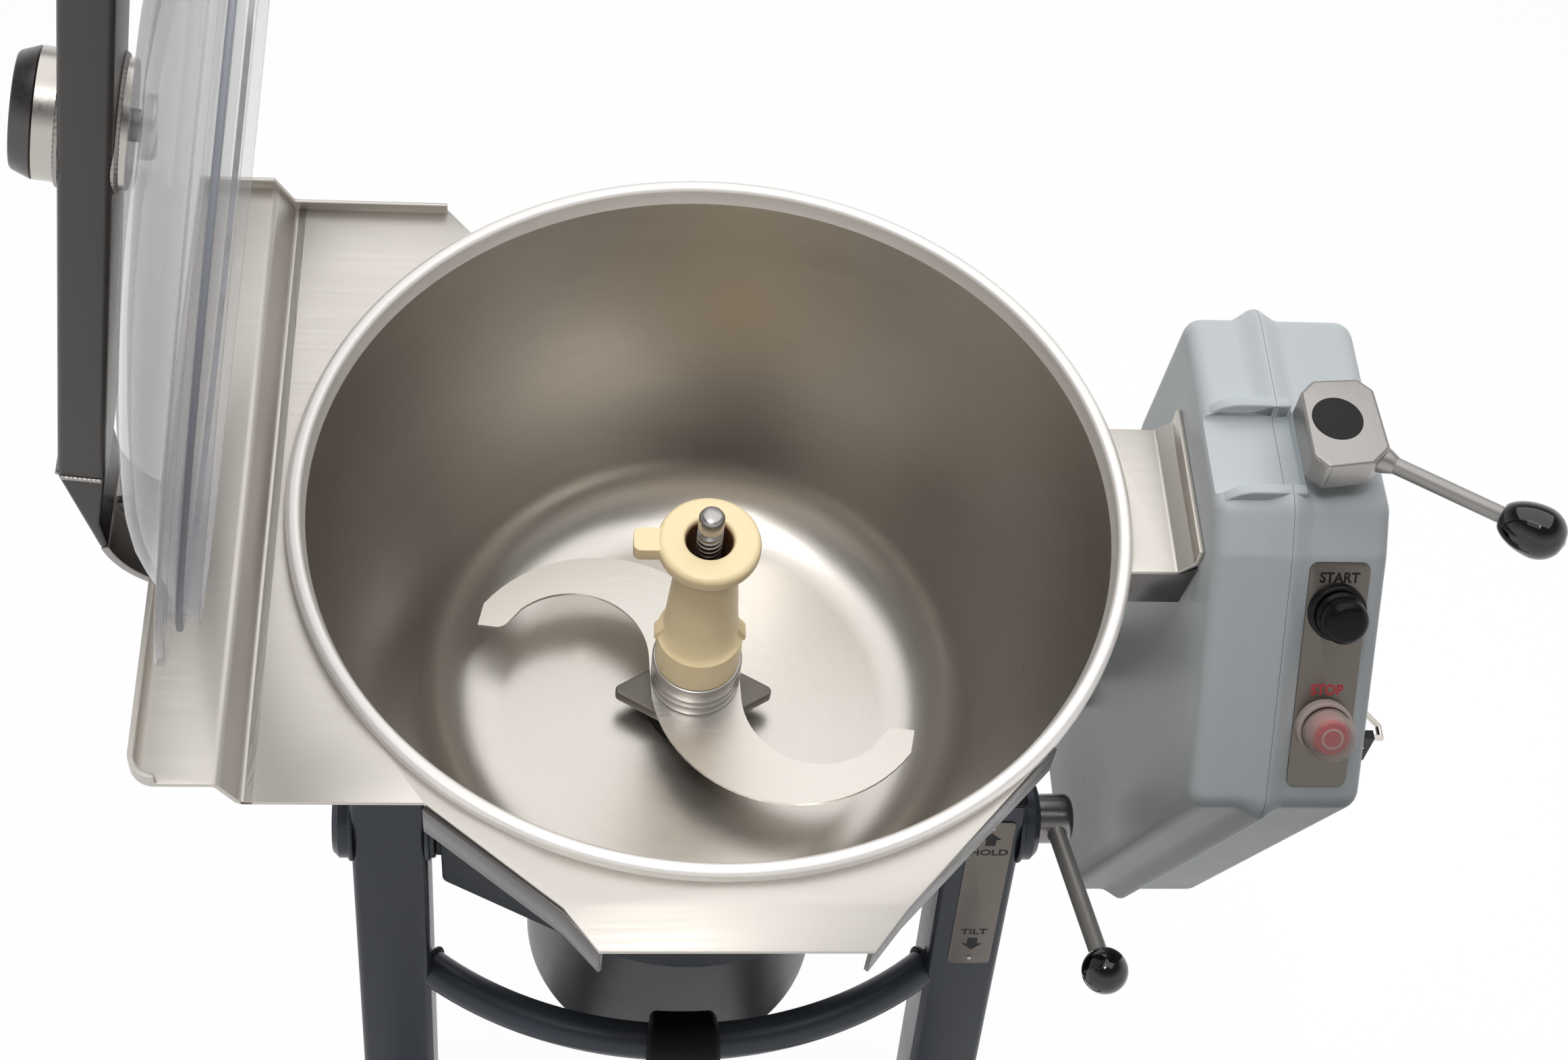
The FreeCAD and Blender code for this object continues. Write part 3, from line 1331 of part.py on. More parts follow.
def crown_block():
    """Wider top of the right shell, over the panel and behind it."""
    points = [
        (HOUSING_TOP_FRONT, HOUSING_TOP), HOUSING_BROW, (HOUSING_BROW[0] + 8.0, CROWN_FOOT),
        (HOUSING_TOP_BACK + 8.0, CROWN_FOOT), (HOUSING_TOP_BACK, HOUSING_TOP),
    ]
    block = across(rounded(points, 6.0), HOUSING_SEAM, HOUSING_CROWN_RIGHT)
    block = softened(block, 5.0, lambda b: flat_at(b.XMin, b.XMax, HOUSING_CROWN_RIGHT))
    reach = HOUSING_CROWN_RIGHT + TUBE_WALL
    drawn_in = [(HOUSING_RIGHT, CROWN_FOOT - TUBE_WALL), (reach, CROWN_FOOT - TUBE_WALL), (reach, CROWN_FOOT + 13.0)]
    return block.cut(through(drawn_in, HOUSING_CHIN[0], HOUSING_BACK))


def right_shell():
    body = slab(HOUSING_SEAM, HOUSING_RIGHT, 0)
    body = softened(body, HOUSING_EDGE, lambda b: flat_at(b.XMin, b.XMax, HOUSING_RIGHT))
    hollow = slab(HOUSING_SEAM, HOUSING_RIGHT - HOUSING_WALL, -HOUSING_WALL)
    shell = joined(body, crown_block(), seam_ridge(1)).cut(saddle_cut()).cut(hollow)
    beyond_seam = slab(HOUSING_SEAM, HOUSING_RIGHT, TUBE)
    shell = joined(shell, saddle_tray(HOUSING_SEAM, SADDLE_RIGHT + HOUSING_WALL),
                   saddle_ribs(SADDLE_RIGHT).common(beyond_seam))
    for y, z in screw_places():
        shell = shell.fuse(rod(SCREW_BOSS_R, (HOUSING_SEAM, y, z), (HOUSING_RIGHT - HOUSING_WALL / 2, y, z)))
    for y, z in screw_places():
        shell = shell.cut(rod(SEAM_SCREW_R, (HOUSING_SEAM, y, z), (HOUSING_RIGHT + HOUSING_EDGE, y, z)))
    post = rod(LATCH_POST_R, (LATCH_X, LATCH_Y, SADDLE_Z - TUBE), (LATCH_X, LATCH_Y, LATCH_TOP))
    return shell.cut(post).cut(switch_hole(START_ALONG)).cut(switch_hole(STOP_ALONG)).removeSplitter()


def seam_screws():
    """Screws through the right shell into the left shell's bosses."""
    head_z = HOUSING_RIGHT
    screws = []
    for y, z in screw_places():
        shank = rod(SEAM_SCREW_R, (HOUSING_SEAM - SEAM_SCREW_LENGTH, y, z), (head_z, y, z))
        head = rod(SEAM_SCREW_HEAD_R, (head_z, y, z), (head_z + SEAM_SCREW_HEAD, y, z))
        screws.append(joined(shank, head))
    return screws


def switch_plate():
    half = (PLATE_RIGHT - PLATE_LEFT) / 2
    middle = (PLATE_START + PLATE_END) / 2
    long_half = (PLATE_END - PLATE_START) / 2
    corners = [(-long_half, -half), (long_half, -half), (long_half, half), (-long_half, half)]
    plate = raised(rounded(corners, PLATE_CORNER), 0, PLATE_THICKNESS)
    down, out = panel_direction()
    turn = FreeCAD.Rotation(V(0, down[0], down[1]), V(-1, 0, 0), V(0, out[0], out[1]), "ZXY")
    plate.Placement = FreeCAD.Placement(V(*panel_point(middle, 0)), turn)
    return plate.cut(switch_hole(START_ALONG)).cut(switch_hole(STOP_ALONG))


def switch_body(along):
    """Threaded barrel and contact block, with the bezel that the button sinks into."""
    bore = BUTTON_STEM_R + RUNNING_GAP
    ring_r = BUTTON_R + SIDE_GAP
    steps = [
        (bore, -SWITCH_BARREL), (SWITCH_BARREL_R, -SWITCH_BARREL), (SWITCH_BARREL_R, PLATE_THICKNESS),
        (SWITCH_BEZEL_R, PLATE_THICKNESS), (SWITCH_BEZEL_R, SWITCH_BEZEL_H), (ring_r, SWITCH_BEZEL_H),
        (ring_r, SWITCH_FLOOR), (bore, SWITCH_FLOOR),
    ]
    half = SWITCH_BLOCK / 2
    low = -SWITCH_BARREL - SWITCH_BLOCK_DEPTH
    block = box(-half, half, -half, half, low, -SWITCH_BARREL)
    return from_panel(joined(turned(steps), block), along)


def start_button():
    """Booted push button: a domed cap on a stem."""
    edge = 4.0
    steps = [
        (0, BUTTON_FOOT - BUTTON_STEM), (BUTTON_STEM_R, BUTTON_FOOT - BUTTON_STEM), (BUTTON_STEM_R, BUTTON_FOOT),
        (BUTTON_R, BUTTON_FOOT), (BUTTON_R, BUTTON_TOP - edge),
        (on_circle(BUTTON_R - edge, BUTTON_TOP - edge, edge, 45), (BUTTON_R - edge, BUTTON_TOP)),
        (0, BUTTON_TOP),
    ]
    return from_panel(turned(steps), START_ALONG)


def stop_button():
    """Red cap with a foot flange that carries the clear boot."""
    foot = BUTTON_FOOT
    flange_r = BUTTON_R - BOOT_SHEET
    steps = [
        (0, foot - BUTTON_STEM), (BUTTON_STEM_R, foot - BUTTON_STEM), (BUTTON_STEM_R, foot), (flange_r, foot),
        (flange_r, foot + 2.0), (STOP_CAP_R, foot + 2.0), (STOP_CAP_R, STOP_CAP_TOP - 1.0),
        (STOP_CAP_R - 1.0, STOP_CAP_TOP), (0, STOP_CAP_TOP),
    ]
    return from_panel(turned(steps), STOP_ALONG)


def stop_boot():
    """Clear boot over the stop button."""
    foot, top, sheet, edge = BUTTON_FOOT, BUTTON_TOP, BOOT_SHEET, 4.0
    inner = BUTTON_R - sheet
    steps = [
        (inner, foot), (BUTTON_R, foot), (BUTTON_R, top - edge),
        (on_circle(BUTTON_R - edge, top - edge, edge, 45), (BUTTON_R - edge, top)),
        (0, top), (0, top - sheet), (BUTTON_R - edge, top - sheet),
        (on_circle(BUTTON_R - edge, top - edge, edge - sheet, 45), (inner, top - edge)),
    ]
    return from_panel(turned(steps), STOP_ALONG)


def contactor():
    """Motor contactor on the left shell's inner wall."""
    x = HOUSING_LEFT + HOUSING_WALL
    deep, wide, tall = CONTACTOR_SIZE
    y, z = CONTACTOR_PLACE
    base = box(x, x + deep * 0.7, y, y + wide, z, z + tall)
    front = box(x + deep * 0.7, x + deep, y + wide * 0.15, y + wide * 0.85, z + tall * 0.2, z + tall * 0.8)
    return joined(base, front)


def catch_base():
    """Black catch pad on the right wall, with ears that hold the wire bail."""
    x0, x1 = HOUSING_RIGHT, HOUSING_RIGHT + CATCH_THICKNESS
    y, z = CATCH_Y, CATCH_Z
    wide, tall = CATCH_HALF_WIDTH, CATCH_HALF_HEIGHT
    pad = box(x0, x1, y - wide, y + wide, z - tall, z + tall)
    slot_half = wide - 3 * BAIL_WIRE_R
    slot = box(x0 + 3.0, x1, y - slot_half, y + slot_half, z - tall, z + tall)
    bore = rod(BAIL_WIRE_R + RUNNING_GAP, *bail_axis_ends())
    return pad.cut(slot).cut(bore)


def bail_axis():
    return (HOUSING_RIGHT + CATCH_THICKNESS / 2 + 1.0, CATCH_Z)


def bail_axis_ends():
    x, z = bail_axis()
    return (x, CATCH_Y - CATCH_HALF_WIDTH, z), (x, CATCH_Y + CATCH_HALF_WIDTH, z)


def wire_bail():
    """U-shaped wire hung in the catch's ears."""
    x, z = bail_axis()
    wire_r = BAIL_WIRE_R
    bend_r = 1.03 * wire_r
    half = CATCH_HALF_WIDTH - 4.5 * wire_r
    turn = math.radians(BAIL_ANGLE)
    out = (math.sin(turn), -math.cos(turn))
    pieces = []
    tip_x, tip_z = x + BAIL_REACH * out[0], z + BAIL_REACH * out[1]
    for side in (-1, 1):
        y = CATCH_Y + side * half
        pieces.append(rod(wire_r, (x, y, z), (x, CATCH_Y + side * (CATCH_HALF_WIDTH - 0.5), z)))
        pieces.append(rod(wire_r, (x, y, z), (tip_x, CATCH_Y + side * half / 3, tip_z)))
        pieces.append(Part.makeSphere(bend_r, V(x, y, z)))
        pieces.append(Part.makeSphere(bend_r, V(tip_x, CATCH_Y + side * half / 3, tip_z)))
    pieces.append(rod(wire_r, (tip_x, CATCH_Y - half / 3, tip_z), (tip_x, CATCH_Y + half / 3, tip_z)))
    return joined(*pieces)


def housing_group():
    save("left_housing_shell", tilt(left_shell()))
    save("right_housing_shell", tilt(right_shell()))
    save("seam_screws", *[tilt(screw) for screw in seam_screws()])
    save("switch_plate", tilt(switch_plate()))
    save("switch_bodies", tilt(switch_body(START_ALONG)), tilt(switch_body(STOP_ALONG)))
    save("start_button", tilt(start_button()))
    save("stop_button", tilt(stop_button()))
    save("stop_boot", tilt(stop_boot()))
    save("contactor", tilt(contactor()))
    save("catch_base", tilt(catch_base()))
    save("wire_bail", tilt(wire_bail()))


# Latch

def latch_post():
    """Pivot bolt of the latch, from inside the housing to the top of the block."""
    nut_r = LATCH_POST_R + 1.6
    collar_r = LATCH_POST_R + 4.0
    roof = HOUSING_TOP - HOUSING_WALL
    steps = [
        (0, roof - 6.0), (nut_r, roof - 6.0), (nut_r, roof), (LATCH_POST_R, roof),
        (LATCH_POST_R, HOUSING_TOP), (collar_r, HOUSING_TOP), (collar_r, LATCH_BOTTOM - SIDE_GAP),
        (LATCH_POST_R, LATCH_BOTTOM - SIDE_GAP), (LATCH_POST_R, LATCH_TOP - SIDE_GAP), (0, LATCH_TOP - SIDE_GAP),
    ]
    return turned(steps, (LATCH_X, LATCH_Y, 0))


def latch_block():
    plan = [(LATCH_X + x, y) for x, y in LATCH_OUTLINE]
    block = raised(rounded(plan, LATCH_CORNER), LATCH_BOTTOM, LATCH_TOP)
    block = softened(block, LATCH_EDGE, lambda b: flat_at(b.ZMin, b.ZMax, LATCH_TOP))
    bore = rod(LATCH_POST_R + RUNNING_GAP, (LATCH_X, LATCH_Y, LATCH_BOTTOM), (LATCH_X, LATCH_Y, LATCH_TOP))
    return block.cut(bore).cut(latch_rod())


def latch_disc():
    return rod(DISC_R, (LATCH_X, LATCH_Y, LATCH_TOP), (LATCH_X, LATCH_Y, LATCH_TOP + DISC_THICKNESS))


def latch_rod():
    end = V(*KNOB_START) + (V(*KNOB_START) - V(*LATCH_ROD_START)).normalize() * (KNOB_LENGTH / 2)
    return rod(LATCH_ROD_R, LATCH_ROD_START, (end.x, end.y, end.z))


def latch_knob():
    """Egg-shaped knob turned about the rod."""
    axis = V(*KNOB_START) - V(*LATCH_ROD_START)
    wide = 0.58 * KNOB_LENGTH
    steps = [
        (0, 0), (KNOB_NECK_R, 0),
        ((KNOB_R * 0.86, wide * 0.45), (KNOB_R, wide)),
        ((KNOB_R * 0.72, wide + (KNOB_LENGTH - wide) * 0.7), (KNOB_TIP_R, KNOB_LENGTH)),
        (0, KNOB_LENGTH),
    ]
    return turned(steps, KNOB_START, (axis.x, axis.y, axis.z)).cut(latch_rod())


def latch_group():
    save("latch_post", tilt(latch_post()))
    save("latch_block", tilt(latch_block()))
    save("latch_disc", tilt(latch_disc()))
    save("latch_lever_rod", tilt(latch_rod()))
    save("latch_knob", tilt(latch_knob()))


os.makedirs("parts", exist_ok=True)
stand()
trunnions()
bowl_and_deck()
yoke_group()
motor_group()
knife_group()
lid_group()
housing_group()
latch_group()
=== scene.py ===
import math

import bpy
from mathutils import Matrix, Vector


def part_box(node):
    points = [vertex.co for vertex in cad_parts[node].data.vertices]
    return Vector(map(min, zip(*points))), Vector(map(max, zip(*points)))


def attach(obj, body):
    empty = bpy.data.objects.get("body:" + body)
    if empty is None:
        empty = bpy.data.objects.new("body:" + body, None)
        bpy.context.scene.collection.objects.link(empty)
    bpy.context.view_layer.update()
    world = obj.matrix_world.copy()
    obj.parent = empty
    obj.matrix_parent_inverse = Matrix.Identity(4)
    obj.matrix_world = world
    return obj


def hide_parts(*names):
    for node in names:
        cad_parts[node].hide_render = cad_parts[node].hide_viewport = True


bl_info = {
    "name": "Vertical Cutter Mixer",
    "version": (1, 0, 0),
    "blender": (4, 5, 0),
    "location": "View3D > Sidebar > Mixer",
    "description": "Models a tilting vertical cutter mixer on its stand",
    "category": "Mesh",
}

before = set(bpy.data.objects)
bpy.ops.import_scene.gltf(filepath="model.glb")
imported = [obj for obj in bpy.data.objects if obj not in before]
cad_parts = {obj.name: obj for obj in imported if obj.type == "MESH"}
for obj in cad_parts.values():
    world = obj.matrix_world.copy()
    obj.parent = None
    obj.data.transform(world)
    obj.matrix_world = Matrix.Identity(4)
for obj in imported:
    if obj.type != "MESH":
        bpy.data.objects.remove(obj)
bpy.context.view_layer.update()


# Sizes and colours that a user would change

def length(text, about, default):
    return bpy.props.FloatProperty(name=text, description=about, default=default, min=0.0, unit="LENGTH", precision=4)


def turn(text, about, default):
    return bpy.props.FloatProperty(name=text, description=about, default=math.radians(default), unit="ROTATION")


def colour(text, about, default):
    return bpy.props.FloatVectorProperty(
        name=text, description=about, default=default, size=3, min=0.0, max=1.0, subtype="COLOR")


class MixerSizes(bpy.types.PropertyGroup):
    rest_tilt: turn("Rest tilt", "How far the bowl leans forward as it stands", 14.3)
    lid_open: turn("Lid opening", "How far the lid stands open", 81.4)
    bowl_radius: length("Bowl radius", "Inside radius of the bowl's wall", 0.240)
    bowl_depth: length("Bowl depth", "Rim's inner edge to the floor", 0.245)
    bowl_foot: length("Bowl foot", "Radius at which the leaning wall would meet the floor", 0.168)
    floor_radius: length("Floor radius", "Radius between the bowl's wall and floor", 0.056)
    sheet: length("Sheet", "Thickness of the bowl and deck sheet", 0.003)
    blade_thickness: length("Blade thickness", "Thickness of the S-shaped knife", 0.004)
    tube: length("Stand tube", "Width of the stand's square tube", 0.050)
    tube_corner: length("Tube corner", "Outside corner radius of the stand's tube", 0.005)
    brace_radius: length("Brace radius", "Radius of the bowed brace bar", 0.0127)
    motor_radius: length("Motor radius", "Radius of the motor's shell", 0.1097)
    arm_width: length("Arm width", "Width of the lid's tube arm", 0.070)
    housing_corner: length("Housing corner", "Radius of the housing's outline corners", 0.016)
    thread_pitch: length("Thread pitch", "Pitch of the spindle's thread", 0.0042)


class MixerColours(bpy.types.PropertyGroup):
    steel: colour("Stainless steel", "Bowl, deck and knife", (0.56, 0.53, 0.49))
    dark_steel: colour("Satin tube", "Lid arm, strap and cap", (0.21, 0.20, 0.195))
    cast_steel: colour("Cast steel", "Latch block", (0.38, 0.365, 0.35))
    drive_steel: colour("Drive plate", "Diamond drive plate", (0.15, 0.135, 0.12))
    enamel: colour("Housing enamel", "Control housing", (0.70, 0.745, 0.77))
    stand_paint: colour("Stand paint", "Stand tubes", (0.085, 0.098, 0.125))
    casting_paint: colour("Casting paint", "Yoke", (0.10, 0.115, 0.135))
    motor_paint: colour("Motor paint", "Motor shell", (0.036, 0.042, 0.043))
    hub: colour("Hub plastic", "Knife hub", (1.0, 0.80, 0.49))
    lid: colour("Lid plastic", "Clear lid", (0.88, 0.88, 1.0))
    black: colour("Black plastic", "Knobs, boots and caps", (0.005, 0.005, 0.006))
    red: colour("Red plastic", "STOP button and its lettering", (0.66, 0.03, 0.05))
    panel: colour("Switch plate", "Brushed plates under the buttons and beside the clamp", (0.16, 0.142, 0.125))


def sizes():
    return bpy.context.scene.mixer_sizes


def colours():
    return bpy.context.scene.mixer_colours


def mm(metres):
    """A length in mm: pieces are shaped in mm and brought to metres when they are set in place."""
    return metres * 1000.0


# Where things stand, as in the CAD: the bowl's frame on its trunnions, the lid on its hinge

PIVOT = Vector((0.0, 80.0, 580.0))
PIVOT_IN_BOWL = Vector((0.0, -54.0, -299.0))
HINGE = Vector((-296.0, 0.0, -1.5))


def on_floor():
    return Matrix.Scale(0.001, 4)


def on_trunnions():
    lean = Matrix.Rotation(sizes().rest_tilt, 4, "X")
    return on_floor() @ Matrix.Translation(PIVOT) @ lean @ Matrix.Translation(-PIVOT_IN_BOWL)


def on_lid_hinge():
    swing = Matrix.Rotation(-sizes().lid_open, 4, "Y")
    return on_trunnions() @ Matrix.Translation(HINGE) @ swing @ Matrix.Translation(-HINGE)


# Outlines

def arc(x, y, radius, start, end, count=12):
    """Points of an arc, angles in degrees."""
    points = []
    for index in range(count + 1):
        angle = math.radians(start + (end - start) * index / count)
        points.append((x + radius * math.cos(angle), y + radius * math.sin(angle)))
    return points


def corner_arc(before, corner, after, radius, shift=0.0, count=6):
    """Arc that rounds a corner of a path, moved to the path's right by the shift."""
    here = Vector(corner)
    back = (Vector(before) - here).normalized()
    ahead = (Vector(after) - here).normalized()
    half = back.angle(ahead) / 2
    centre = here + (back + ahead).normalized() * (radius / math.sin(half))
    bends_left = back.y * ahead.x > back.x * ahead.y
    start = here + back * (radius / math.tan(half)) - centre
    sweep = (math.pi - 2 * half) * (1 if bends_left else -1)
    reach = radius + shift if bends_left else radius - shift
    points = []
    for step in range(count + 1):
        spoke = Matrix.Rotation(sweep * step / count, 2) @ start
        points.append(tuple(centre + spoke.normalized() * reach))
    return points


def rounded(corners, radius, growth=0.0, count=6):
    """Polygon with every corner rounded. Growth moves the whole outline outwards. The outline may run either way."""
    total = len(corners)
    radii = radius if isinstance(radius, (list, tuple)) else [radius] * total
    area = sum(a[0] * b[1] - b[0] * a[1] for a, b in zip(corners, corners[1:] + corners[:1]))
    shift = growth if area > 0 else -growth
    points = []
    for index, corner in enumerate(corners):
        points += corner_arc(corners[index - 1], corner, corners[(index + 1) % total], radii[index], shift, count)
    return points


def flat(points, level):
    return [(x, y, level) for x, y in points]


def upright_at(points, x):
    return [(x, y, z) for y, z in points]


def facing(points, y):
    return [(x, y, z) for x, z in points]


# Modelling by hand

def put_down():
    """Object mode with nothing selected."""
    if bpy.context.object and bpy.context.object.mode != "OBJECT":
        bpy.ops.object.mode_set(mode="OBJECT")
    bpy.ops.object.select_all(action="DESELECT")


def pick(*pieces):
    put_down()
    for piece in pieces:
        piece.select_set(True)
    bpy.context.view_layer.objects.active = pieces[0]


def start_ring(points, filled=True):
    """Circle primitive with its corners moved to the points."""
    put_down()
    bpy.ops.mesh.primitive_circle_add(vertices=len(points), radius=1.0, fill_type="NGON" if filled else "NOTHING")
    piece = bpy.context.object
    for corner, point in zip(piece.data.vertices, points):
        corner.co = point
    return piece


def tidy_mesh(piece, merge=0.001):
    pick(piece)
    bpy.ops.object.mode_set(mode="EDIT")
    bpy.ops.mesh.select_all(action="SELECT")
    bpy.ops.mesh.remove_doubles(threshold=merge)
    bpy.ops.mesh.normals_make_consistent(inside=False)
    bpy.ops.object.mode_set(mode="OBJECT")


def skin(rings):
    """Solid extruded from ring to ring of as many points, closed at both ends."""
    piece = start_ring(rings[0])
    bpy.ops.object.mode_set(mode="EDIT")
    bpy.ops.mesh.select_all(action="SELECT")
    for ring in rings[1:]:
        bpy.ops.object.mode_set(mode="EDIT")
        bpy.ops.mesh.extrude_region_move()
        bpy.ops.object.mode_set(mode="OBJECT")
        chosen = [corner for corner in piece.data.vertices if corner.select]
        for corner, point in zip(chosen, ring):
            corner.co = point
    tidy_mesh(piece)
    return piece


def plate(points, low, high):
    return skin([flat(points, low), flat(points, high)])


def bar_across(points, x0, x1):
    return skin([upright_at(points, x0), upright_at(points, x1)])


def bar_through(points, y0, y1):
    return skin([facing(points, y0), facing(points, y1)])


def lathe(profile, steps=96, ring=False):
    """Profile of (radius, height) spun about Z. Where it isn't a ring, its ends stand on the axis."""
    piece = start_ring([(r, 0.0, z) for r, z in profile], False)
    if not ring:
        ends = (0, len(profile) - 1)
        for corner in piece.data.vertices:
            corner.select = corner.index in ends
        for edge in piece.data.edges:
            edge.select = set(edge.vertices) == set(ends)
        bpy.ops.object.mode_set(mode="EDIT")
        bpy.ops.mesh.delete(type="EDGE")
    bpy.ops.object.mode_set(mode="EDIT")
    bpy.ops.mesh.select_all(action="SELECT")
    bpy.ops.mesh.spin(steps=steps, angle=math.tau, center=(0, 0, 0), axis=(0, 0, 1))
    bpy.ops.object.mode_set(mode="OBJECT")
    tidy_mesh(piece)
    return piece


def modifier(piece, kind, **values):
    pick(piece)
    added = piece.modifiers.new(kind.title(), kind)
    for key, value in values.items():
        setattr(added, key, value)
    bpy.ops.object.modifier_apply(modifier=added.name)
    return piece


def soften(piece, width, segments=3, angle=30.0):
    return modifier(piece, "BEVEL", width=width, segments=segments, limit_method="ANGLE",
                    angle_limit=math.radians(angle), use_clamp_overlap=True, miter_outer="MITER_ARC")


def combine(piece, tool, operation):
    modifier(piece, "BOOLEAN", object=tool, operation=operation, solver="EXACT")
    bpy.data.objects.remove(tool)
    return piece


def joined(*pieces):
    pick(*pieces)
    bpy.ops.object.join()
    return bpy.context.object


def moved(piece, matrix):
    piece.data.transform(matrix)
    piece.data.update()
    return piece


def standing(piece, point, axis):
    """A piece drawn along +Z is stood on a point, along an axis."""
    turned = Vector(axis).to_track_quat("Z", "Y").to_matrix().to_4x4()
    return moved(piece, Matrix.Translation(Vector(point)) @ turned)


def rod(radius, start, end, edge=0.0, steps=32):
    """Round bar between two points with softened ends."""
    start, end = Vector(start), Vector(end)
    span = (end - start).length
    profile = [(0.0, 0.0)]
    if edge:
        profile += arc(radius - edge, edge, edge, -90, 0, 4) + arc(radius - edge, span - edge, edge, 0, 90, 4)
    else:
        profile += [(radius, 0.0), (radius, span)]
    profile.append((0.0, span))
    return standing(lathe(profile, steps), start, end - start)


def along(points, radii, sides=12, loop=False):
    """Tube along points with a radius at each, made from a grid wrapped round the line."""
    total = len(points)
    put_down()
    bpy.ops.mesh.primitive_grid_add(x_subdivisions=sides, y_subdivisions=total - 1)
    piece = bpy.context.object
    spots = [Vector(point) for point in points]
    side = None
    row = sides + 1
    for index, spot in enumerate(spots):
        if loop:
            ahead = spots[(index + 1) % (total - 1)] - spots[index - 1 if index else -2]
        else:
            ahead = spots[min(index + 1, total - 1)] - spots[max(index - 1, 0)]
        ahead.normalize()
        if side is None:
            side = ahead.orthogonal().normalized()
        side = (side - ahead * side.dot(ahead)).normalized()
        up = ahead.cross(side)
        radius = radii[index] if isinstance(radii, list) else radii
        for corner in range(row):
            angle = math.tau * corner / sides
            offset = (side * math.cos(angle) + up * math.sin(angle)) * radius
            piece.data.vertices[index * row + corner].co = spot + offset
    tidy_mesh(piece)
    if not loop:
        pick(piece)
        bpy.ops.object.mode_set(mode="EDIT")
        bpy.ops.mesh.select_all(action="SELECT")
        bpy.ops.mesh.fill_holes(sides=0)
        bpy.ops.mesh.normals_make_consistent(inside=False)
        bpy.ops.object.mode_set(mode="OBJECT")
    return piece


def weld_bead(points, radius, ripple=2.6, loop=False):
    """Weld bead: a tube whose radius swells at each ripple."""
    spots = [Vector(point) for point in points]
    if loop:
        spots.append(spots[0])
    spans = [(b - a).length for a, b in zip(spots, spots[1:])]
    total = sum(spans)
    count = max(8, 4 * round(total / ripple))
    path, radii = [], []
    for index in range(count + 1):
        left = total * index / count
        leg = 0
        while leg < len(spans) - 1 and left > spans[leg]:
            left -= spans[leg]
            leg += 1
        path.append(spots[leg].lerp(spots[leg + 1], min(1.0, left / spans[leg])))
        radii.append(radius * (0.88 + 0.16 * abs(math.sin(math.pi * index / 4))))
    return along(path, radii, 8, loop)


def circle_points(centre, axis, radius, count=64):
    axis = Vector(axis).normalized()
    side = axis.orthogonal().normalized()
    up = axis.cross(side)
    return [Vector(centre) + (side * math.cos(math.tau * i / count) + up * math.sin(math.tau * i / count)) * radius
            for i in range(count)]


def lettering(text, size, thickness=0.12, bold=0.0, wide=1.0):
    """Raised letters flat on XY, centred on the origin."""
    put_down()
    bpy.ops.object.text_add()
    words = bpy.context.object
    words.data.body = text
    words.data.align_x = "CENTER"
    words.data.align_y = "CENTER"
    words.data.size = size
    words.data.offset = bold
    words.data.extrude = thickness
    words.data.resolution_u = 6
    pick(words)
    bpy.ops.object.convert(target="MESH")
    return moved(words, Matrix.Diagonal((wide, 1.0, 1.0, 1.0)))


def set_in_place(piece, name, place, finish, body, slot, *nodes, smooth=35.0):
    """Brings a piece to metres on the object, gives it its finish, and makes it ride on its CAD body."""
    moved(piece, place)
    piece.name = name
    piece.data.name = name
    pick(piece)
    bpy.ops.object.shade_smooth_by_angle(angle=math.radians(smooth))
    piece.data.materials.clear()
    piece.data.materials.append(finishes[finish])
    for face in piece.data.polygons:
        face.material_index = 0
    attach(piece, body)
    if nodes:
        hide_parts(*nodes)
    return piece


# Shader maths as expressions

class Value:
    """A node socket that can be used in sums."""

    def __init__(self, surface, socket):
        self.surface = surface
        self.socket = socket

    def math(self, operation, *others):
        return self.surface.node("ShaderNodeMath", {"operation": operation}, self, *others)

    def __add__(self, other):
        return self.math("ADD", other)

    def __sub__(self, other):
        return self.math("SUBTRACT", other)

    def __mul__(self, other):
        return self.math("MULTIPLY", other)

    def __truediv__(self, other):
        return self.math("DIVIDE", other)

    def __radd__(self, other):
        return self + other

    def __rmul__(self, other):
        return self * other

    def __rsub__(self, other):
        return self.surface.node("ShaderNodeMath", {"operation": "SUBTRACT"}, other, self)

    def part(self, name):
        return Value(self.surface, self.socket.node.outputs[name])


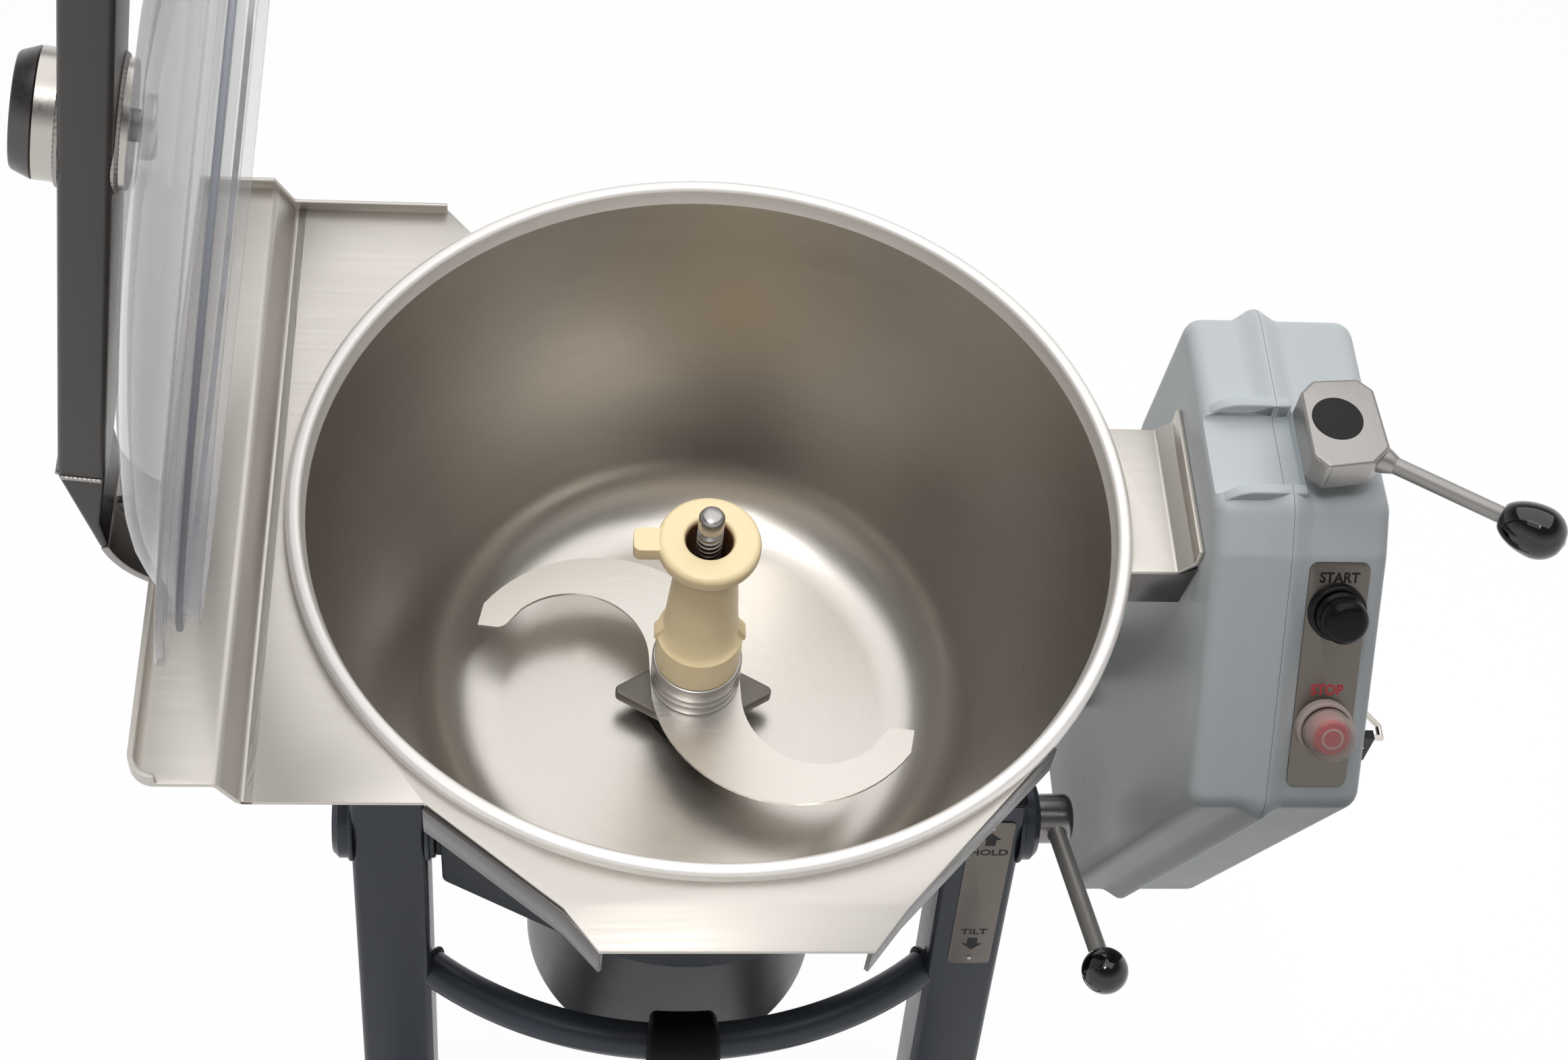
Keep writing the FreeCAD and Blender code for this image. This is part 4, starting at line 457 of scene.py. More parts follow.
class Surface:
    """A material being made, with its Principled shader."""

    def __init__(self, name, base, roughness, metallic=0.0, **values):
        self.material = bpy.data.materials.new(name)
        self.material.use_nodes = True
        self.tree = self.material.node_tree
        self.shader = self.tree.nodes["Principled BSDF"]
        self.set("Base Color", base)
        self.set("Roughness", roughness)
        self.set("Metallic", metallic)
        for key, value in values.items():
            self.set(key.replace("_", " "), value)
        finishes[name] = self.material

    def set(self, name, value):
        socket = self.shader.inputs[name]
        if isinstance(value, Value):
            self.tree.links.new(value.socket, socket)
        elif socket.type == "RGBA" and len(value) == 3:
            socket.default_value = (*value, 1.0)
        else:
            socket.default_value = value

    def node(self, kind, settings=None, *values, **named):
        made = self.tree.nodes.new(kind)
        for key, value in (settings or {}).items():
            if key == "stops":
                self.set_stops(made.color_ramp, value)
            else:
                setattr(made, key, value)
        sockets = [socket for socket in made.inputs if socket.enabled]
        pairs = list(zip(sockets, values))
        pairs += [(made.inputs[key.replace("_", " ")], value) for key, value in named.items()]
        for socket, value in pairs:
            if isinstance(value, Value):
                self.tree.links.new(value.socket, socket)
            elif hasattr(value, "__len__") and socket.type == "RGBA" and len(value) == 3:
                socket.default_value = (*value, 1.0)
            else:
                socket.default_value = value
        outputs = [socket for socket in made.outputs if socket.enabled]
        return Value(self, outputs[0])

    def set_stops(self, ramp, stops):
        while len(ramp.elements) > 1:
            ramp.elements.remove(ramp.elements[-1])
        ramp.elements[0].position, first = stops[0]
        ramp.elements[0].color = (*first, 1.0)
        for position, shade in stops[1:]:
            ramp.elements.new(position).color = (*shade, 1.0)

    def place(self, scale=(1.0, 1.0, 1.0), lean=0.0, about=(0.0, 0.0, 0.0)):
        """Object coordinates turned about X and moved, so that a pattern centres on a piece."""
        here = self.node("ShaderNodeTexCoord").part("Object")
        shifted = self.node("ShaderNodeMapping", {"vector_type": "POINT"}, Vector=here,
                            Location=tuple(-value for value in about))
        turned = self.node("ShaderNodeMapping", {"vector_type": "POINT"}, Vector=shifted, Rotation=(lean, 0.0, 0.0))
        return self.node("ShaderNodeMapping", {"vector_type": "POINT"}, Vector=turned, Scale=scale)

    def noise(self, where, scale, detail=3.0, roughness=0.55):
        return self.node("ShaderNodeTexNoise", None, Vector=where, Scale=scale, Detail=detail, Roughness=roughness)

    def spread(self, value, low, high, to_low, to_high):
        return self.node("ShaderNodeMapRange", None, value, low, high, to_low, to_high)

    def blend(self, factor, first, second):
        return self.node("ShaderNodeMix", {"data_type": "RGBA"}, factor, first, second)

    def bump(self, height, strength, distance=0.001):
        self.set("Normal", self.node("ShaderNodeBump", None, Height=height, Strength=strength, Distance=distance))


finishes = {}


def shade(base, factor):
    return tuple(min(1.0, value * factor) for value in base)


def mixed(surface, factor, base, dark, light):
    """Base colour that wanders between a darker and a lighter shade of itself."""
    return surface.blend(factor, shade(base, dark), shade(base, light))


def turned_steel(name, base, rough, centre, lean, depth=0.05, **values):
    """Steel brushed in circles about the bowl's axis."""
    surface = Surface(name, base, rough, 1.0, **values)
    here = surface.place(lean=-lean, about=centre)
    apart = surface.node("ShaderNodeSeparateXYZ", None, here)
    x, y, z = apart.part("X"), apart.part("Y"), apart.part("Z")
    radius = (x * x + y * y).math("SQRT")
    level = radius + z
    round_place = surface.node("ShaderNodeCombineXYZ", None, x / radius * 7.0, y / radius * 7.0, level * 340.0)
    lines = surface.noise(round_place, 1.0, 3.0, 0.65)
    broad_place = surface.node("ShaderNodeCombineXYZ", None, x / radius * 1.6, y / radius * 1.6, level * 55.0)
    broad = surface.noise(broad_place, 1.0, 2.0, 0.5)
    cloud = surface.noise(here, 9.0, 3.0, 0.6)
    mask = lines * 0.6 + broad * 0.4
    surface.set("Roughness", surface.spread(mask * 0.6 + cloud * 0.4, 0.3, 0.7, rough - 0.04, rough + 0.05))
    surface.set("Base Color", mixed(surface, mask, base, 0.90, 1.07))
    surface.bump(broad, depth, 0.0002)
    return surface


def brushed_steel(name, base, rough, stretch=(6.0, 700.0, 700.0), depth=0.08, lean=0.0, **values):
    """Steel brushed in straight lines."""
    surface = Surface(name, base, rough, 1.0, **values)
    here = surface.place(scale=stretch, lean=-lean)
    lines = surface.noise(here, 1.0, 3.0, 0.6)
    cloud = surface.noise(surface.place(), 14.0, 4.0, 0.6)
    mask = lines * 0.6 + cloud * 0.4
    surface.set("Roughness", surface.spread(mask, 0.3, 0.7, rough - 0.06, rough + 0.09))
    surface.set("Base Color", mixed(surface, mask, base, 0.90, 1.08))
    surface.bump(lines, depth, 0.0004)
    return surface


def grained(name, base, rough, metallic=0.0, size=260.0, depth=0.1, drift=(0.93, 1.06), **values):
    """Paint, plastic or casting: fine grain with a slow drift of shade."""
    surface = Surface(name, base, rough, metallic, **values)
    here = surface.place()
    grain = surface.noise(here, size, 3.0, 0.6)
    cloud = surface.noise(here, 11.0, 4.0, 0.6)
    surface.set("Roughness", surface.spread(grain * 0.5 + cloud * 0.5, 0.3, 0.7, rough - 0.05, rough + 0.07))
    surface.set("Base Color", mixed(surface, cloud * 0.7 + grain * 0.3, base, *drift))
    surface.bump(grain, depth, 0.0006)
    return surface


def speckled_enamel(name, base, rough, **values):
    """Glossy enamel with a little orange peel and a few dark specks."""
    surface = Surface(name, base, rough, 0.0, **values)
    here = surface.place()
    peel = surface.noise(here, 120.0, 2.0, 0.5)
    cloud = surface.noise(here, 7.0, 3.0, 0.5)
    dots = surface.node("ShaderNodeTexVoronoi", {"feature": "F1"}, Vector=here, Scale=95.0)
    rare = surface.noise(here, 23.0, 1.0, 0.5)
    speck = surface.spread(dots, 0.045, 0.075, 1.0, 0.0) * surface.spread(rare, 0.63, 0.68, 0.0, 1.0)
    plain = mixed(surface, cloud, base, 0.97, 1.03)
    surface.set("Base Color", surface.blend(speck, plain, shade(base, 0.25)))
    surface.set("Roughness", surface.spread(peel * 0.5 + cloud * 0.5, 0.3, 0.7, rough - 0.04, rough + 0.05))
    surface.bump(peel, 0.05, 0.0008)
    return surface


def thin_plastic(name, base, rough, facing, edge):
    """Clear moulding: thin where it is seen square on, dense along its edges."""
    surface = Surface(name, base, rough, 0.0, Coat_Weight=0.3, Coat_Roughness=0.05)
    away = surface.node("ShaderNodeLayerWeight", None, 0.35).part("Facing")
    streaks = surface.noise(surface.place(), 26.0, 2.0, 0.5)
    surface.set("Alpha", surface.spread(away * 0.9 + streaks * 0.1, 0.0, 1.0, facing, edge))
    surface.set("Base Color", surface.blend(away, shade(base, 1.15), shade(base, 0.72)))
    return surface


class MIXER_OT_finishes(bpy.types.Operator):
    """Makes the finishes of all pieces."""
    bl_idname = "mixer.finishes"
    bl_label = "Finishes"

    def execute(self, context):
        tint = colours()
        lean = sizes().rest_tilt
        axis_foot = tuple(on_trunnions() @ Vector((0.0, 0.0, 0.0)))
        turned_steel("bowl steel", tuple(tint.steel), 0.30, axis_foot, lean)
        # Painted highlight: the rolled rim is the bowl's own steel, made far lighter than it to stand in for the bright
        # band of light along the rim.
        turned_steel("rim steel painted highlight", (0.93, 0.90, 0.875), 0.58, axis_foot, lean, 0.02)
        brushed_steel("deck steel", shade(tint.steel, 1.06), 0.42, (8.0, 420.0, 420.0), 0.04, lean)
        # Painted shade: the deck's turned-down flanges are the deck's own sheet, given a dark copy of the satin tube
        # colour for the shade and dark reflections on them.
        brushed_steel("sheet steel painted shade", shade(tint.dark_steel, 0.7), 0.30, (8.0, 420.0, 420.0), 0.04, lean)
        # Painted shade: arm and cap are the same satin tube as the strap, given darker copies of its colour for the
        # shade on them.
        brushed_steel("arm steel painted shade", shade(tint.dark_steel, 0.4), 0.34, (420.0, 420.0, 7.0), 0.07)
        brushed_steel("cap steel painted shade", shade(tint.dark_steel, 0.55), 0.30, (420.0, 420.0, 60.0), 0.05)
        # Painted light: the strap is the same satin tube as arm and cap, given a lighter copy of its colour for the
        # light on it.
        brushed_steel("strap steel painted light", shade(tint.dark_steel, 1.7), 0.34, (420.0, 7.0, 420.0), 0.07)
        brushed_steel("knife steel", shade(tint.steel, 1.08), 0.30, (30.0, 900.0, 900.0), 0.06, lean)
        brushed_steel("polished steel", shade(tint.steel, 1.25), 0.18, (60.0, 60.0, 500.0), 0.03)
        brushed_steel("boss steel", shade(tint.steel, 0.95), 0.24, (420.0, 420.0, 60.0), 0.04)
        # Painted reflection: the clamp boss is polished steel, given this dark copy for the dark reflections on it.
        brushed_steel("clamp steel painted dark reflection", (0.24, 0.23, 0.225), 0.24, (60.0, 60.0, 500.0), 0.03)
        grained("rod steel", (0.44, 0.425, 0.41), 0.42, 0.5, 700.0, 0.01)
        grained("bearing steel", (0.42, 0.41, 0.40), 0.3, 1.0)
        grained("cast steel", tuple(tint.cast_steel), 0.36, 1.0, 340.0, 0.16)
        grained("drive plate steel", tuple(tint.drive_steel), 0.42, 0.85, 420.0, 0.25)
        grained("fastener steel", (0.50, 0.49, 0.46), 0.3, 1.0)
        grained("bronze", (0.48, 0.32, 0.14), 0.35, 1.0)
        grained("iron", (0.12, 0.115, 0.11), 0.55, 0.7)
        grained("stand paint", tuple(tint.stand_paint), 0.34, 0.1, 300.0, 0.06, Coat_Weight=0.05, Coat_Roughness=0.15,
                Specular_IOR_Level=0.35)
        grained("casting paint", shade(tint.casting_paint, 0.8), 0.5, 0.0, 180.0, 0.3, Specular_IOR_Level=0.2)
        grained("motor paint", tuple(tint.motor_paint), 0.34, 0.0, 300.0, 0.05, Specular_IOR_Level=0.2)
        speckled_enamel("housing enamel", tuple(tint.enamel), 0.34, Specular_IOR_Level=0.1)
        brushed_steel("plate steel", tuple(tint.panel), 0.36, (5.0, 600.0, 600.0), 0.05)
        brushed_steel("label steel", tuple(tint.panel), 0.34, (5.0, 600.0, 600.0), 0.05)
        grained("hub plastic", tuple(tint.hub), 0.36, 0.0, 500.0, 0.05, (0.96, 1.03), Subsurface_Weight=0.12,
                Subsurface_Radius=(0.006, 0.004, 0.002), Subsurface_Scale=1.0)
        # Painted shade: the hub well is the hub's own plastic, coloured dark brown for the shade inside it.
        grained("hub well painted shade", (0.16, 0.07, 0.03), 0.45, 0.0)
        grained("black plastic", tuple(tint.black), 0.4, 0.0, Specular_IOR_Level=0.3)
        grained("glossy black", shade(tint.black, 0.5), 0.07, 0.0, 60.0, 0.01, Coat_Weight=0.4)
        grained("boot rubber", shade(tint.black, 0.7), 0.32, 0.0, 200.0, 0.02, Specular_IOR_Level=0.2)
        grained("black rubber", shade(tint.black, 0.8), 0.55, 0.0, 500.0, 0.2, Specular_IOR_Level=0.2)
        grained("pale seal", (0.50, 0.52, 0.58), 0.4, 0.0)
        grained("red plastic", tuple(tint.red), 0.3, 0.0)
        grained("pale mark", (0.86, 0.60, 0.58), 0.35, 0.0)
        grained("milky plastic", (0.56, 0.47, 0.42), 0.4, 0.0)
        grained("grey moulding", (0.32, 0.32, 0.31), 0.45, 0.0)
        thin_plastic("clear boot", (0.80, 0.72, 0.66), 0.42, 0.06, 0.85)
        thin_plastic("clear lid", tuple(tint.lid), 0.08, 0.14, 0.60)
        return {"FINISHED"}


# Bowl

class MIXER_OT_bowl(bpy.types.Operator):
    """Makes the bowl with its rolled rim, and the gland in its floor."""
    bl_idname = "mixer.bowl"
    bl_label = "Bowl"

    def execute(self, context):
        size = sizes()
        radius, depth = mm(size.bowl_radius), mm(size.bowl_depth)
        foot, bend, sheet = mm(size.bowl_foot), mm(size.floor_radius), mm(size.sheet)
        bead, bead_z, bead_foot = 4.5, -2.0, -9.0
        lean = (radius - foot) / (depth + bead_z)
        outside = radius + lean * (bead_foot - bead_z) + math.hypot(1.0, lean) * sheet
        path = (22.0, -depth), (foot, -depth), (radius, bead_z)
        profile = [path[0], (70.0, -depth)] + corner_arc(*path, bend, 0.0, 18)
        profile += [(radius + lean * (z - bead_z), z) for z in (-160.0, -110.0, -60.0, bead_foot)]
        profile += [(outside + lean * (z - bead_foot), z) for z in (bead_foot, -60.0, -130.0)]
        profile += corner_arc(*path, bend, sheet, 14)[::-1] + [(22.0, -depth - sheet)]
        wall = lathe(profile, 160, ring=True)
        set_in_place(wall, "bowl_shell", on_trunnions(), "bowl steel", "tilting_unit", "bowl_steel", "bowl")
        roll = [(radius + lean * (bead_foot - bead_z), bead_foot), (radius - 0.1, bead_z - 0.5)]
        roll += arc(radius + 3.3, bead_z + 1.2, 3.3, 170, 90, 6)
        roll += arc(radius + 2 * bead - 3.5, bead_z + 1.0, 3.5, 90, 0, 6)
        roll += arc(radius + 2 * bead - 3.0, bead_foot + 3.0, 3.0, 0, -90, 5)
        # The rolled rim takes the rim steel with its painted highlight.
        set_in_place(lathe(roll, 160, ring=True), "rolled_rim", on_trunnions(), "rim steel painted highlight", "tilting_unit", "bowl_steel")
        gland = [(15.2, -262.0), (22.0, -262.0), (22.0, -245.0)] + [(30.0, -245.0)]
        gland += arc(25.0, -243.0, 4.0, 0, 90, 5) + [(15.2, -239.0)]
        set_in_place(lathe(gland, 64, ring=True), "gland_ring", on_trunnions(), "black rubber",
                     "tilting_unit", "black_rubber", "shaft_seal")
        return {"FINISHED"}


# Deck sheet and the shelf to the housing

DECK_TOP = -5.0
TRAY_TOP = 14.0


def folded(path, thickness, radius):
    """Outline of a sheet folded along a path of points, its bends rounded."""
    half = thickness / 2
    sides = []
    for shift in (-half, half):
        first = (Vector(path[1]) - Vector(path[0])).normalized()
        last = (Vector(path[-1]) - Vector(path[-2])).normalized()
        line = [tuple(Vector(path[0]) + Vector((first.y, -first.x)) * shift)]
        for before, corner, after in zip(path, path[1:], path[2:]):
            line += corner_arc(before, corner, after, radius, shift)
        line.append(tuple(Vector(path[-1]) + Vector((last.y, -last.x)) * shift))
        sides.append(line)
    return sides[0] + sides[1][::-1]


def swept_wall(points, thickness, low, high):
    """Upright wall of even thickness on an open path in plan."""
    left, right = [], []
    spots = [Vector(point) for point in points]
    for index, spot in enumerate(spots):
        ahead = (spots[min(index + 1, len(spots) - 1)] - spots[max(index - 1, 0)]).normalized()
        side = Vector((-ahead.y, ahead.x)) * thickness / 2
        left.append(tuple(spot + side))
        right.append(tuple(spot - side))
    return plate(left + right[::-1], low, high)


class MIXER_OT_deck(bpy.types.Operator):
    """Makes the deck round the rim with its tray, lips and pouring edge, and the shelf to the housing."""
    bl_idname = "mixer.deck"
    bl_label = "Deck"

    def execute(self, context):
        rim = mm(sizes().bowl_radius) + 9.0
        sheet = mm(sizes().sheet)
        low = DECK_TOP - sheet
        round_rim = arc(0.0, 0.0, rim, 126.0, 320.0, 72)
        outline = [(-258.5, -202.0), (-258.5, 223.0), (-164.0, 223.0), (-150.0, 206.0)] + round_rim
        outline += [(97.0, -264.0), (78.0, -289.0), (-67.0, -289.0), (-86.0, -264.0), (-161.5, -202.0)]
        sheet_top = soften(plate(outline, low, DECK_TOP), 0.9, 2)
        path = [(-252.0, DECK_TOP - sheet / 2), (-259.5, DECK_TOP - sheet / 2),
                (-270.0, TRAY_TOP - sheet / 2), (-330.0, TRAY_TOP - sheet / 2)]
        tray = bar_through(folded(path, sheet, 4.5), -202.0, 223.0)
        corner = rounded([(-316.0, 240.0), (-316.0, -202.0), (-250.0, -202.0), (-250.0, 240.0)], [2.0, 15.0, 2.0, 2.0])
        combine(tray, plate(corner, -60.0, 60.0), "INTERSECT")
        soften(tray, 0.7, 2, 50.0)
        lip_line = [(-314.5, 221.5), (-314.5, -187.0)] + arc(-301.0, -187.0, 13.5, 180, 270, 8)
        lip = soften(swept_wall(lip_line, sheet, TRAY_TOP - sheet, TRAY_TOP + 7.0), 1.2, 3)
        rise = TRAY_TOP - DECK_TOP
        back = [(-314.5, low + rise), (-270.0, low + rise), (-259.0, low), (-164.0, low), (-164.0, 2.0),
                (-259.0, 2.0), (-270.0, 2.0 + rise), (-314.5, 2.0 + rise)]
        back_lip = soften(bar_through(back, 220.0, 223.0), 1.0, 3)
        walls = []
        reach = rim + 0.2
        for line in ([(-161.5, -203.5), (-85.0, -265.5), (-66.0, -287.5)],
                     [(76.0, -287.5), (96.0, -262.0), (188.0, -163.5)]):
            wall = swept_wall(line, sheet, DECK_TOP - 28.0, low + 0.5)
            walls.append(soften(combine(wall, rod(reach, (0, 0, -200), (0, 0, 100), steps=96), "DIFFERENCE"), 0.7, 2))
        # The spout flanges take the sheet steel with its painted shade.
        set_in_place(joined(*walls), "spout_flanges", on_trunnions(), "sheet steel painted shade", "tilting_unit", "sheet_steel",
                     smooth=28.0)
        whole = joined(sheet_top, tray, lip, back_lip)
        set_in_place(whole, "deck_sheet", on_trunnions(), "deck steel", "tilting_unit", "sheet_steel", "deck", smooth=28.0)
        shelf_path = [(238.0, DECK_TOP - sheet / 2), (273.5, DECK_TOP - sheet / 2), (283.2, 3.0), (283.2, 16.0)]
        shelf = bar_through(folded(shelf_path, 3.4, 5.0), -46.0, 59.0)
        flange = bar_through([(240.0, -38.0), (281.0, -38.0), (284.8, -2.0), (276.0, low + 0.4), (240.0, low + 0.4)],
                             -46.0, -43.0)
        for sheet_part in (shelf, flange):
            combine(sheet_part, rod(rim, (0, 0, -200), (0, 0, 100), steps=128), "DIFFERENCE")
            soften(sheet_part, 0.7, 2, 50.0)
        set_in_place(shelf, "housing_shelf", on_trunnions(), "deck steel", "tilting_unit", "sheet_steel",
                     "housing_bracket", smooth=28.0)
        # The shelf's flange takes the sheet steel with its painted shade.
        set_in_place(flange, "shelf_flange", on_trunnions(), "sheet steel painted shade", "tilting_unit", "sheet_steel", smooth=28.0)
        return {"FINISHED"}


# Knife

def blade_outline():
    tip, inner = (143.0, -39.0), arc(81.0, -13.6, 51.0, -43.0, -176.0, 24)
    arm = arc(64.0, 0.4, 94.0, -170.0, -36.6, 26) + [tip] + corner_arc(tip, (126.4, -36.8), inner[0], 8.5) + inner[1:]
    arm = [point for point in arm if math.hypot(*point) > 26.0]
    return arm + [(-x, -y) for x, y in arm]


class MIXER_OT_knife(bpy.types.Operator):
    """Makes the S knife, its rings and moulded hub, the drive plate and the threaded spindle."""
    bl_idname = "mixer.knife"
    bl_label = "Knife"

    def execute(self, context):
        place = on_trunnions()
        thick = mm(sizes().blade_thickness)
        low = -210.0
        blade = plate(blade_outline(), low, low + thick)
        pick(blade)
        bpy.ops.object.mode_set(mode="EDIT")
        bpy.ops.mesh.select_all(action="DESELECT")
        bpy.ops.object.mode_set(mode="OBJECT")
        for face in blade.data.polygons:
            face.select = face.normal.z < -0.9
        bpy.ops.object.mode_set(mode="EDIT")
        bpy.ops.mesh.select_mode(type="FACE")
        bpy.ops.mesh.inset(thickness=3.2)
        bpy.ops.mesh.select_mode(type="VERT")
        bpy.ops.object.mode_set(mode="OBJECT")
        for corner in blade.data.vertices:
            if corner.co.z < low + 0.1 and not corner.select:
                corner.co.z = low + thick - 2.4
        set_in_place(blade, "s_knife", place, "knife steel", "knife", "blade_steel", "knife_blade", smooth=12.0)
        rings = []
        for z0, z1, edge in ((-206.0, -197.0, 1.2), (-197.0, -191.0, 1.0), (-191.0, -178.0, 1.4)):
            profile = [(12.3, z0)] + arc(29.2 - edge, z0 + edge, edge, -90, 0, 4)
            profile += arc(29.2 - edge, z1 - edge, edge, 0, 90, 4) + [(12.3, z1)]
            rings.append(lathe(profile, 72, ring=True))
        set_in_place(joined(*rings), "knife_seat_rings", place, "bearing steel", "knife", "bearing_steel", "knife_rings")
        profile = [(12.3, -178.0)] + arc(26.6, -176.9, 1.1, -90, 0, 4)
        profile += [(27.7, -150.0)] + arc(26.2, -149.5, 1.5, 0, 60, 4)
        profile += [(24.4, -144.0), (23.2, -128.0), (21.2, -100.0), (19.6, -76.0), (19.2, -66.0)]
        profile += arc(23.0, -60.6, 3.6, 180, 90, 5)
        profile += arc(27.2, -52.4, 4.6, -90, 0, 7) + arc(27.2, -48.6, 4.6, 0, 90, 7)
        profile += arc(17.2, -46.2, 2.2, 90, 180, 5)
        profile += [(15.0, -90.0), (12.3, -90.0)]
        hub = lathe(profile, 96, ring=True)
        thumb = rounded([(-46.0, -8.5), (-20.0, -8.5), (-20.0, 8.5), (-46.0, 8.5)], [4.5, 0.5, 0.5, 4.5])
        soften(combine(hub, soften(plate(thumb, -56.0, -45.6), 3.0, 4), "UNION"), 0.5, 2, 50.0)
        lugs = []
        for side in (-1, 1):
            lug = bar_through([(side * 20.0, -152.0), (side * 29.2, -152.0), (side * 29.2, -146.0), (side * 23.0, -137.0)],
                              -5.0, 5.0)
            lugs.append(soften(lug, 1.2, 3))
        set_in_place(joined(hub, *lugs), "moulded_hub", place, "hub plastic", "knife", "hub_plastic", "knife_hub")
        # A thin dark sleeve lines the hub's well: painted shade inside the recess.
        well = lathe([(14.9, -89.0), (14.9, -47.5), (14.4, -47.5), (14.4, -88.5), (12.4, -88.5), (12.4, -89.0)], 64, ring=True)
        set_in_place(well, "hub_well_painted_shade", place, "hub well painted shade", "knife", "hub_plastic")
        diamond = [(-55.5, 0.0), (0.0, -33.0), (55.5, 0.0), (0.0, 33.0)]
        drive = soften(plate(rounded(diamond, 4.0), -231.0, -222.0), 1.0, 3)
        boss = rod(24.0, (0, 0, -223.0), (0, 0, -210.0), 1.5, 64)
        set_in_place(joined(drive, boss), "diamond_drive_plate", place, "drive plate steel", "rotor", "drive_steel",
                     "drive_plate")
        spindle = lathe([(0.0, -572.5), (14.0, -572.5), (15.0, -571.5), (15.0, -231.0), (12.0, -231.0), (12.0, -85.0),
                         (11.0, -84.0), (6.2, -84.0), (6.2, -33.0), (7.9, -32.0), (7.9, -22.4), (6.9, -20.4), (5.2, -19.2), (0.0, -19.0)], 48)
        pitch = mm(sizes().thread_pitch)
        crest = start_ring([(6.0, 0.0, -80.0), (6.0, 0.0, -80.0 + pitch), (8.0, 0.0, -80.0 + 0.62 * pitch),
                            (8.0, 0.0, -80.0 + 0.38 * pitch)], False)
        turns = int(46.0 / pitch)
        modifier(crest, "SCREW", angle=math.tau, screw_offset=pitch, iterations=turns, steps=36, render_steps=36,
                 use_merge_vertices=False)
        tidy_mesh(crest, 0.0005)
        set_in_place(joined(spindle, crest), "threaded_spindle", place, "bearing steel", "rotor", "bearing_steel",
                     "motor_shaft")
        return {"FINISHED"}


# Lid, drawn closed

